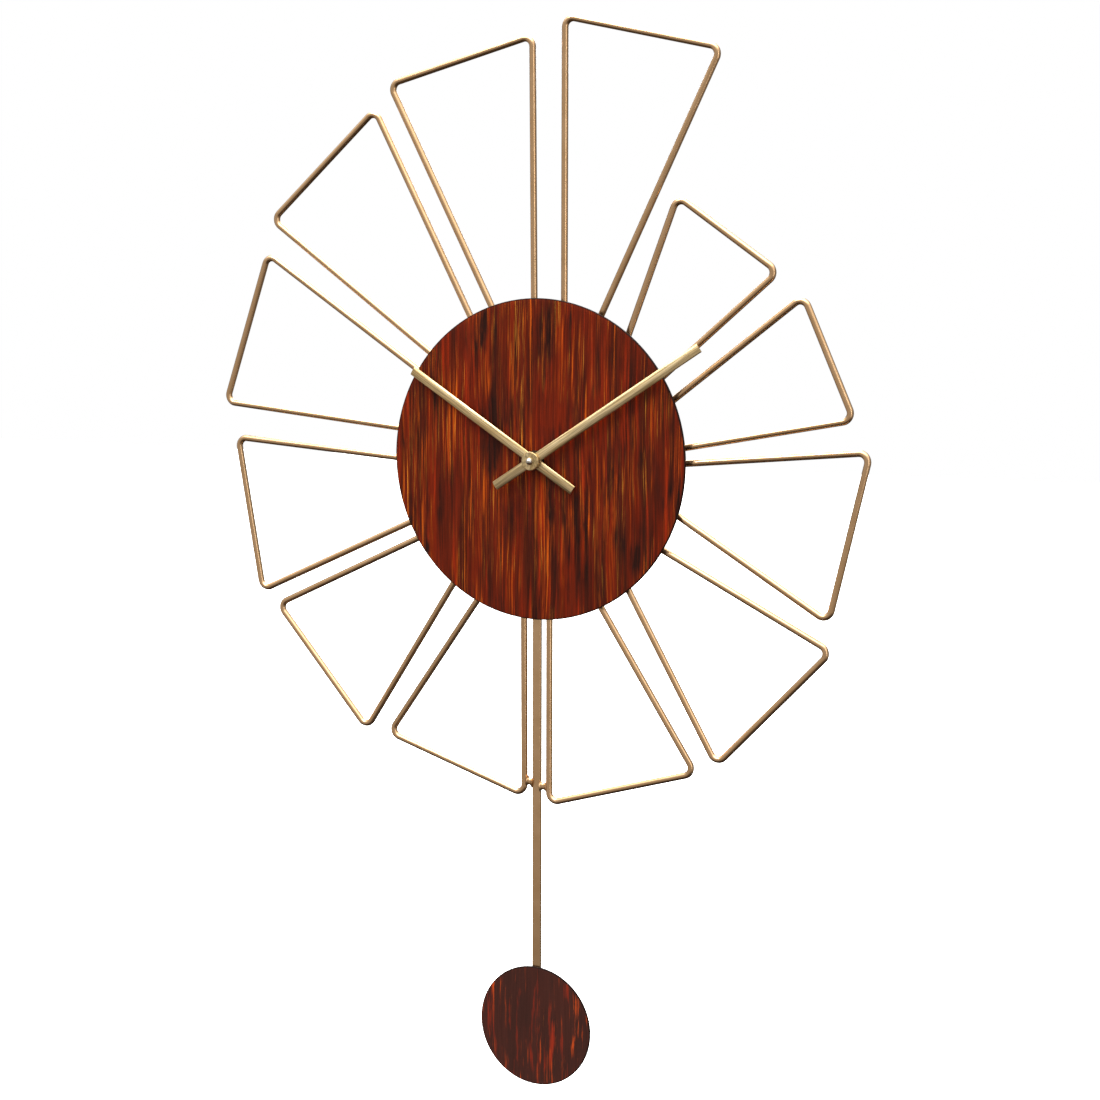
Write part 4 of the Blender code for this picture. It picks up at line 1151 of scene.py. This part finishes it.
@dataclass
class WireFrame:
    """The twelve rays, the ring that they are welded to, and the bar that hangs below."""

    rays: tuple[Ray, ...] = (
        Ray(306, 14.4, -1.4, 26),
        Ray(212, 41.5, -6.5, 28.5, edge=90),
        Ray(227, 70.5, -4.5, 27, edge=90),
        Ray(235, 101, 2, 36.5),
        Ray(244, 133, 0.5, 33.5),
        Ray(243, 164.7, -1.2, 33),
        Ray(240, 197, 0.5, 35.5),
        Ray(249, 228.5, 0.5, 32),
        Ray(255.5, 258.5, 1.5, 28.5),
        Ray(267, 290, -0.5, 27.5),
        Ray(279, 319.5, -0.5, 26.5),
        Ray(291, 347, -1, 27),
    )
    ties: tuple[WeldedTie, ...] = (WeldedTie("tie_bar_left", lean=9.0), WeldedTie("tie_bar_right"))
    leg_overlap: float = 7 * MM
    bead: Vector = field(default_factory=lambda: Vector((3.4, 1.5, 4.6)) * MM)
    bead_inset: float = 5.5 * MM
    bead_ripple: float = 2 * MM
    bead_relief: float = 0.8 * MM
    ring_edge: float = 0.35 * MM
    bar_edge: float = 0.6 * MM

    def build(self) -> None:
        """Builds and dresses the whole wire frame."""
        low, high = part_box("sun_ray_01")
        radius = (high.y - low.y) / 2
        height = -(high.y + low.y) / 2
        ring_front = heights("weld_ring")[1]
        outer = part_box("weld_ring")[1].x
        foot = outer - self.leg_overlap
        for index, ray in enumerate(self.rays, start=1):
            wire = ray.wire(f"ray_wire_{index:02d}", radius, height, foot)
            wire.done(Body.FRAME, Slot.GOLD, GOLD, [f"sun_ray_{index:02d}"])
        ring = Piece.from_solid("weld_ring", "welding_ring")
        ring.soften(self.ring_edge)
        ring.done(Body.FRAME, Slot.GOLD, GOLD, ["weld_ring"])
        self.beads(outer, ring_front, foot)
        self.drop_bar()
        for tie in self.ties:
            tie.build(radius, height)

    def beads(self, outer: float, ring_front: float, foot: float) -> None:
        """Lays the weld beads where the legs lie on the ring, two for each leg.

        Args:
            outer: The ring's outer radius.
            ring_front: Height of the ring's front off the wall.
            foot: The radius at which the legs end.
        """
        model = Piece(
            "weld_bead_model",
            bpy.ops.mesh.primitive_ico_sphere_add,
            subdivisions=3,
            radius=1,
            scale=self.bead,
        )
        clouds = bpy.data.textures.new("weld_ripple", "CLOUDS")
        clouds.noise_scale = self.bead_ripple
        model.modify("DISPLACE", texture=clouds, strength=self.bead_relief, texture_coords="LOCAL")
        made = []
        for index, ray in enumerate(self.rays, start=1):
            for side in (-1, 1):
                for rim in (outer, foot - self.bead_inset):
                    end = ray.leg_end(side, rim, ring_front)
                    bead = model.copy(f"weld_bead_{index}_{side}_{rim:.3f}")
                    made.append(bead.move(end, turn=ray.leg_bearing(side)))
        first, *others = made
        first.take_in(others)
        first.obj.name = first.obj.data.name = "ring_weld_beads"
        bpy.data.objects.remove(model.obj, do_unlink=True)
        first.done(Body.FRAME, Slot.GOLD, GOLD, smooth=60)

    def drop_bar(self) -> None:
        """The flat bar from the ring down to the disc, with its edges rolled."""
        low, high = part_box("drop_bar")
        bar = Piece(
            "drop_bar_strip",
            bpy.ops.mesh.primitive_cube_add,
            size=1,
            location=(low + high) / 2,
            scale=high - low,
        )
        bar.soften(self.bar_edge, segments=4)
        bar.done(Body.FRAME, Slot.GOLD, GOLD, ["drop_bar"])


# ---------------------------------------------------------------- dial and disc
@dataclass
class PaintedPlates:
    """The dial and the disc that hangs below it: round sheet with a rolled edge."""

    roll: float = 0.5 * MM
    steps: int = 180
    dial_hole: float = 4.3 * MM

    def profile(self, hole: float, radius: float, back: float, front: float) -> list[tuple[float, float]]:
        """Draws half the section of a plate, from its hole round its rolled edge to its back.

        Args:
            hole: Radius of the hole in its middle.
            radius: Its outer radius.
            back: Height of its back off the wall.
            front: Height of its front off the wall.

        Returns:
            The section's points, each as a radius and a height.
        """
        roll = self.roll
        arc = [
            (radius - roll + roll * math.sin(angle), front - roll + roll * math.cos(angle))
            for angle in quarter_turn(4)
        ]
        return [
            (hole, back), (hole, front), (radius * 0.97, front), *arc,
            (radius, back + roll / 2), (radius - roll / 2, back), (hole, back),
        ]

    def build(self) -> None:
        """Builds both plates, paints their fronts and enamels their backs."""
        for node, name, slot, paint, hole in (
            ("dial", "dial_plate", Slot.DIAL, DIAL_PAINT, self.dial_hole),
            ("pendulum_disc", "hanging_disc", Slot.DISC, DISC_PAINT, 0.0),
        ):
            low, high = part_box(node)
            centre = (low + high) / 2
            rows = self.profile(hole, (high.x - low.x) / 2, *heights(node))
            plate = Piece.turned(name, section(rows, centre), centre, -FRONT, self.steps)
            plate.done(Body.FRAME, slot, paint, [node])
            plate.face_with(BACK_ENAMEL, lambda face: face.normal.y > 0.7)


# ---------------------------------------------------------------- hands
@dataclass
class Hand:
    """One straight hand: half-round brass bar with square ends and a round boss.

    Attributes:
        node: The solid that it stands for.
        name: The piece's name.
        body: The body that it rides on.
        bearing: Where it points, in degrees clockwise of twelve o'clock.
        reach: From the hand axis to its tip.
        tail: From the hand axis to its other end.
        bore: Radius of the hole on the axis.
        width: Width of the bar.
        boss: Radius of the boss.
        sill: Height of the bar's straight sides.
        bar_edge: Width of the rounding along the bar's edges.
        boss_edge: Width of the rounding round the boss.
    """

    node: str
    name: str
    body: Body
    bearing: float
    reach: float
    tail: float
    bore: float
    width: float = 6.9 * MM
    boss: float = 4.4 * MM
    sill: float = 0.25 * MM
    bar_edge: float = 0.12 * MM
    boss_edge: float = 0.15 * MM

    @staticmethod
    def round_bar(name: str, radius: float, depth: float, middle: Vector, vertices: int) -> Piece:
        """Adds a round bar that stands straight out from the wall.

        Args:
            name: The bar's name.
            radius: Its radius.
            depth: Its length.
            middle: The point at its middle.
            vertices: How many sides it has.

        Returns:
            The bar.
        """
        return Piece(
            name,
            bpy.ops.mesh.primitive_cylinder_add,
            vertices=vertices,
            radius=radius,
            depth=depth,
            location=middle,
            rotation=(math.pi / 2, 0, 0),
        )

    def build(self) -> None:
        """Flattens a round bar, cuts away its back half, and bores the boss on it."""
        back, front = heights(self.node)
        middle = bearing_vector(self.bearing) * (self.reach - self.tail) / 2 + FRONT * back
        bar = Piece(
            self.name,
            bpy.ops.mesh.primitive_cylinder_add,
            vertices=64,
            radius=self.width / 2,
            depth=self.reach + self.tail,
            location=middle,
            rotation=(0, math.radians(self.bearing), 0),
        )
        flatness = (front - back - self.sill) / (self.width / 2)
        with bar.editing():
            pick_all()
            bpy.ops.transform.resize(value=(1, flatness, 1), center_override=middle)
            bpy.ops.transform.translate(value=FRONT * self.sill)
            bpy.ops.mesh.bisect(
                plane_co=FRONT * back, plane_no=-FRONT, use_fill=True, clear_outer=True
            )
        bar.soften(self.bar_edge, angle=50)
        thick = front - back
        boss = self.round_bar("boss", self.boss, thick, FRONT * (back + front) / 2, 64)
        bar.cut(boss.soften(self.boss_edge), "UNION")
        bar.cut(self.round_bar("hole", self.bore, 10 * MM, FRONT * back, 48))
        brass = BrushedBrass(f"brushed_brass_{self.body.value}", bearing=self.bearing)
        bar.done(self.body, Slot.BRASS, brass, [self.node], smooth=30)


@dataclass
class HandSet:
    """The two hands, the round nut that holds them, and the domed tip of the arbor."""

    hands: tuple[Hand, ...] = (
        Hand("hour_hand", "hour_hand_bar", Body.HOUR, 302.5, 116 * MM, 37 * MM, 2.8 * MM),
        Hand("minute_hand", "minute_hand_bar", Body.MINUTE, 57.2, 151 * MM, 35 * MM, 1.5 * MM),
    )
    nut_bore: float = 1.5 * MM
    nut_roll: float = 0.45 * MM
    dome: float = 2.8 * MM
    dome_sink: float = 0.4 * MM
    dome_root: float = 0.6 * MM

    def build(self) -> None:
        """Builds the hands, the nut and the dome."""
        for hand in self.hands:
            hand.build()
        self.nut()
        self.tip()

    def nut(self) -> None:
        """Turns the round nut: a chamfered bore, a flat front and a rolled edge."""
        low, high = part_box("hand_nut")
        back, front = heights("hand_nut")
        radius = (high.x - low.x) / 2
        roll, bore = self.nut_roll, self.nut_bore
        rows = [
            (bore, back), (bore, front - 0.2 * MM), (bore + 0.25 * MM, front),
            (self.dome + 0.9 * MM, front), (radius - roll - 0.5 * MM, front - 0.05 * MM),
            (radius - roll, front - 0.12 * MM), (radius - 0.15 * MM, front - roll),
            (radius, front - roll - 0.3 * MM), (radius, back + 0.3 * MM),
            (radius - 0.3 * MM, back), (bore, back),
        ]
        nut = Piece.turned("hub_nut", section(rows), Vector(), -FRONT, 72)
        brass = BrushedBrass("turned_brass", run=2 * MM)
        nut.done(Body.MINUTE, Slot.BRASS, brass, ["hand_nut"], smooth=20)

    def tip(self) -> None:
        """Turns the dome over the end of the arbor, with a short root inside the nut's front."""
        front = heights("hand_nut")[1]
        base = front - self.dome_sink
        rise = heights("minute_arbor")[1] - base + 0.3 * MM
        dome = [
            (self.dome * math.sin(angle), base + rise * math.cos(angle)) for angle in quarter_turn(8)
        ]
        root = front - self.dome_root
        rows = [*dome, (self.dome, root), (0, root)]
        cap = Piece.turned("arbor_dome", section(rows), Vector(), -FRONT, 48)
        cap.done(Body.MINUTE, Slot.STEEL, NICKEL)


# ---------------------------------------------------------------- movement
@dataclass
class Movement:
    """The movement behind the dial, its clamp, its hanger and its battery.

    The marks are the plus and the minus that show which way round the cell goes.
    """

    cover_edge: float = 0.15 * MM
    knob_edge: float = 0.12 * MM
    mark_length: float = 4.5 * MM
    mark_width: float = 0.9 * MM
    mark_depth: float = 0.35 * MM
    mark_space: float = 4 * MM
    cap_radius: float = 2.7 * MM
    cap_height: float = 1.4 * MM
    band: float = 14 * MM

    def build(self) -> None:
        """Rounds the moulded and stamped parts and makes the battery anew."""
        for node, name, slot, finish, width in (
            ("front_case", "movement_case", Slot.BLACK, BLACK_ABS, 0.4),
            ("hanger_plate", "hanger_strap", Slot.STEEL, ZINC, 0.15),
            # The clamp washer is brass, darkened with painted shade.
            ("brass_washer", "clamp_washer", Slot.BRASS, SHADE_DARKENED_BRASS, 0.1),
            ("rubber_washer", "rubber_pad", Slot.RUBBER, NITRILE, 0.15),
        ):
            piece = Piece.from_solid(node, name).soften(width * MM)
            piece.done(Body.FRAME, slot, finish, [node])
        self.cover()
        self.nuts()
        self.battery()
        knob = Piece.from_solid("setting_knob", "knurled_knob").soften(self.knob_edge)
        knob.done(Body.KNOB, Slot.WHITE, WHITE_ACETAL, ["setting_knob"])

    def cover(self) -> None:
        """The rear cover, with the two marks of the cell's poles sunk into it above its window."""
        cover = Piece.from_solid("rear_cover", "movement_cover")
        low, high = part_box("battery")
        line = high.z + self.mark_space
        long, thin = self.mark_length, self.mark_width
        for x, width, height in (
            (high.x - long, long, thin),
            (high.x - long, thin, long),
            (low.x + long, long, thin),
        ):
            cover.cut(
                Piece(
                    "mark",
                    bpy.ops.mesh.primitive_cube_add,
                    size=1,
                    location=(x, 0, line),
                    scale=(width, 2 * self.mark_depth, height),
                )
            )
        cover.soften(self.cover_edge)
        cover.done(Body.FRAME, Slot.BLACK, BLACK_ABS, ["rear_cover"])

    def nuts(self) -> None:
        """The hexagon nuts, chamfered on both faces as turned nuts are."""
        for node, name, slot, finish in (
            ("hex_nut", "dial_clamp_nut", Slot.NUT, BLACK_OXIDE),
            ("dial_nut_1", "stud_nut_1", Slot.STEEL, ZINC),
            ("dial_nut_2", "stud_nut_2", Slot.STEEL, ZINC),
            ("dial_nut_3", "stud_nut_3", Slot.STEEL, ZINC),
        ):
            low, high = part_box(node)
            centre = (low + high) / 2
            corner = max(high.x - low.x, high.z - low.z) / 2
            flats = corner * math.cos(math.pi / 6)
            thick = high.y - low.y
            edge, slope = flats + 0.1 * (corner - flats), 0.6 * (corner - flats)
            half = [
                (0, thick), (edge, thick), (flats, thick / 2), (corner + MM, thick / 2 - slope),
            ]
            rows = [(out, -along) for out, along in half] + half[::-1]
            profile = [centre + Vector((out, along, 0)) for out, along in rows]
            nut = Piece.from_solid(node, name)
            nut.cut(Piece.turned("nut_chamfer", profile, centre, -FRONT, 48), "INTERSECT")
            nut.done(Body.FRAME, slot, finish, [node], smooth=20)

    def battery(self) -> None:
        """The cell: a shrink-wrapped can, a pressed cap and a flat base with a ring in it."""
        low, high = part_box("battery")
        radius = (high.z - low.z) / 2
        centre = (low + high) / 2
        base, cap = low.x, high.x
        nub = self.cap_radius
        shoulder = cap - self.cap_height
        band = cap - self.band
        rows = [
            (0, cap - 0.1 * MM), (nub - 0.5 * MM, cap), (nub, cap - 0.4 * MM), (nub, shoulder + 0.1 * MM),
            (radius - 1.6 * MM, shoulder - 0.05 * MM), (radius - 1.5 * MM, shoulder + 0.1 * MM),
            (radius - 0.5 * MM, shoulder), (radius - 0.1 * MM, shoulder - 0.4 * MM),
            (radius, shoulder - 1.0 * MM), (radius, band), (radius, base + 1.0 * MM),
            (radius - 0.1 * MM, base + 0.4 * MM), (radius - 0.5 * MM, base),
            (radius - 1.4 * MM, base), (radius - 1.5 * MM, base + 0.2 * MM),
            (radius - 2.2 * MM, base + 0.2 * MM), (radius - 2.4 * MM, base), (0, base),
        ]
        profile = [Vector((along, centre.y, centre.z + out)) for out, along in rows]
        cell = Piece.turned("battery_cell", profile, centre, RIGHT, 64)
        cell.done(Body.BATTERY, Slot.WRAP, BATTERY_FILM, ["battery"])

        def banded(face: Any) -> bool:
            """Whether a face lies in the pale band at the cap's end."""
            return band < face.calc_center_median().x < shoulder - 1.2 * MM

        def bare(face: Any) -> bool:
            """Whether a face lies where the wrap leaves the can's two ends bare.

            Args:
                face: A face of the cell, in edit mode.

            Returns:
                True where the metal shows.
            """
            middle = face.calc_center_median()
            out = math.hypot(middle.y - centre.y, middle.z - centre.z)
            ends = middle.x > shoulder - 0.2 * MM or middle.x < base + 0.3 * MM
            return ends and out < radius - 1.3 * MM

        cell.face_with(BATTERY_BAND, banded)
        cell.face_with(NICKEL, bare)


@dataclass
class Internals:
    """The solids whose shape stands as it is, each given the finish of the real thing."""

    finishes: tuple[tuple[Finish, tuple[str, ...]], ...] = (
        (ZINC, tuple(f"dial_{part}_{index}" for part in ("stud", "spacer") for index in (1, 2, 3))),
        (BrushedBrass("bush_brass", run=3 * MM), ("threaded_bush",)),
        (NICKEL, ("battery_spring", "minus_contact", "plus_contact")),
        (NICKEL, ("quartz_crystal", "minute_arbor", "rotor")),
        (WHITE_ACETAL, ("hour_wheel", "minute_wheel", "third_wheel")),
        (WHITE_ACETAL, ("train_bridge", "coil_bobbin")),
        (EPOXY, ("chip",)),
        (SOLDER_MASK, ("circuit_board",)),
        (COPPER, ("coil_winding",)),
        (SHEET_IRON, ("coil_core", "stator")),
    )

    def build(self) -> None:
        """Puts each finish in its solids' own material slots."""
        for finish, nodes in self.finishes:
            for node in nodes:
                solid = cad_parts[node]
                if not solid.material_slots:
                    solid.data.materials.append(finish.material())
                for slot in solid.material_slots:
                    slot.material = finish.material()
                LOG.info("%s is finished in %s", node, finish.name)


# ---------------------------------------------------------------- studio
@dataclass
class Softbox:
    """One large soft light."""

    name: str
    place: tuple[float, float, float]
    width: float
    height: float
    power: float
    aim: tuple[float, float, float] = (0.0, 0.0, -0.05)

    def hang(self) -> None:
        """Hangs the light and turns it to its aim."""
        lamp = bpy.data.lights.new(self.name, "AREA")
        lamp.shape = "RECTANGLE"
        lamp.size = self.width
        lamp.size_y = self.height
        lamp.energy = self.power
        obj = bpy.data.objects.new(self.name, lamp)
        obj.location = self.place
        obj.rotation_euler = (Vector(self.aim) - Vector(self.place)).to_track_quat("-Z", "Y").to_euler()
        bpy.context.scene.collection.objects.link(obj)


@dataclass
class Studio:
    """Floor, sky, lights and camera."""

    floor_level: float = -0.62
    camera_place: tuple[float, float, float] = (0.65272, -1.33786, 0.11562)
    camera_turn: tuple[float, float, float] = (83.0149, -0.1402, 25.9823)
    lens: float = 67.526
    sensor: float = 36.0
    sky_steps: tuple[tuple[float, tuple[float, float, float, float]], ...] = (
        (0.0, (0.05, 0.04, 0.035, 1)),
        (0.18, (0.12, 0.1, 0.085, 1)),
        (0.32, (0.5, 0.46, 0.42, 1)),
        (0.64, (0.6, 0.58, 0.55, 1)),
        (0.8, (1.7, 1.66, 1.6, 1)),
        (0.92, (4.6, 4.55, 4.4, 1)),
        (1.0, (5.6, 5.5, 5.3, 1)),
    )
    lights: tuple[Softbox, ...] = (
        Softbox("overhead_softbox", (-0.25, -0.55, 1.6), 1.8, 1.0, 12),
        Softbox("key_softbox", (-0.75, -1.25, 1.35), 0.55, 0.55, 8),
        Softbox("right_strip", (1.9, -1.1, 0.2), 0.35, 1.6, 6),
        Softbox("back_softbox", (-0.7, 1.6, 1.0), 1.2, 1.2, 22),
    )

    def build(self) -> None:
        """Sets the whole studio up."""
        self.floor()
        self.sky()
        for light in self.lights:
            light.hang()
        self.camera()
        bpy.context.scene.view_settings.view_transform = "Standard"

    def floor(self) -> None:
        """A plain pale floor well below the clock. It keeps its light off the clock."""
        floor = Piece(
            "studio_floor",
            bpy.ops.mesh.primitive_plane_add,
            size=14,
            location=(0, 0, self.floor_level),
        )
        floor.obj.data.materials.append(StudioFloor().material())
        floor.obj.visible_glossy = False
        floor.obj.visible_diffuse = False

    def sky(self) -> None:
        """White to the eye, and for the light a room bright overhead and dim behind the clock."""
        world = bpy.data.worlds.new("white_room")
        bpy.context.scene.world = world
        world.use_nodes = True
        tree = world.node_tree
        tree.nodes.clear()
        way = add_node(tree, "ShaderNodeTexCoord").outputs["Generated"]
        parts = add_node(tree, "ShaderNodeSeparateXYZ", {0: way})
        rise = Finish.span(tree, parts.outputs["Z"], -1.0, 1.0)
        ramp = add_node(tree, "ShaderNodeValToRGB", {0: rise})
        steps = ramp.color_ramp.elements
        steps[0].position, steps[0].color = self.sky_steps[0]
        steps[1].position, steps[1].color = self.sky_steps[-1]
        for position, colour in self.sky_steps[1:-1]:
            steps.new(position).color = colour
        behind = Finish.span(tree, parts.outputs["Y"], -0.2, 0.6, 1.0, 0.45)
        room = add_node(tree, "ShaderNodeBackground", {0: ramp.outputs[0], 1: behind})
        white = add_node(tree, "ShaderNodeBackground", {0: (1, 1, 1, 1), 1: 1.0})
        seen = add_node(tree, "ShaderNodeLightPath").outputs["Is Camera Ray"]
        both = add_node(tree, "ShaderNodeMixShader", {0: seen, 1: room.outputs[0], 2: white.outputs[0]})
        add_node(tree, "ShaderNodeOutputWorld", {0: both.outputs[0]})

    def camera(self) -> None:
        """The camera, to the right of the clock and a little above its hands."""
        lens = bpy.data.cameras.new("studio_camera")
        lens.lens = self.lens
        lens.sensor_width = self.sensor
        lens.clip_start = 0.05
        obj = bpy.data.objects.new("studio_camera", lens)
        obj.location = self.camera_place
        obj.rotation_euler = Euler([math.radians(angle) for angle in self.camera_turn])
        bpy.context.scene.collection.objects.link(obj)
        bpy.context.scene.camera = obj


def main() -> None:
    """Builds the clock's pieces in order, then the studio round it."""
    logging.basicConfig(level=logging.INFO, format="%(name)s: %(message)s")
    for assembly in (WireFrame(), PaintedPlates(), HandSet(), Movement(), Internals(), Studio()):
        LOG.info("building %s", type(assembly).__name__)
        assembly.build()


if __name__ == "__main__":
    main()
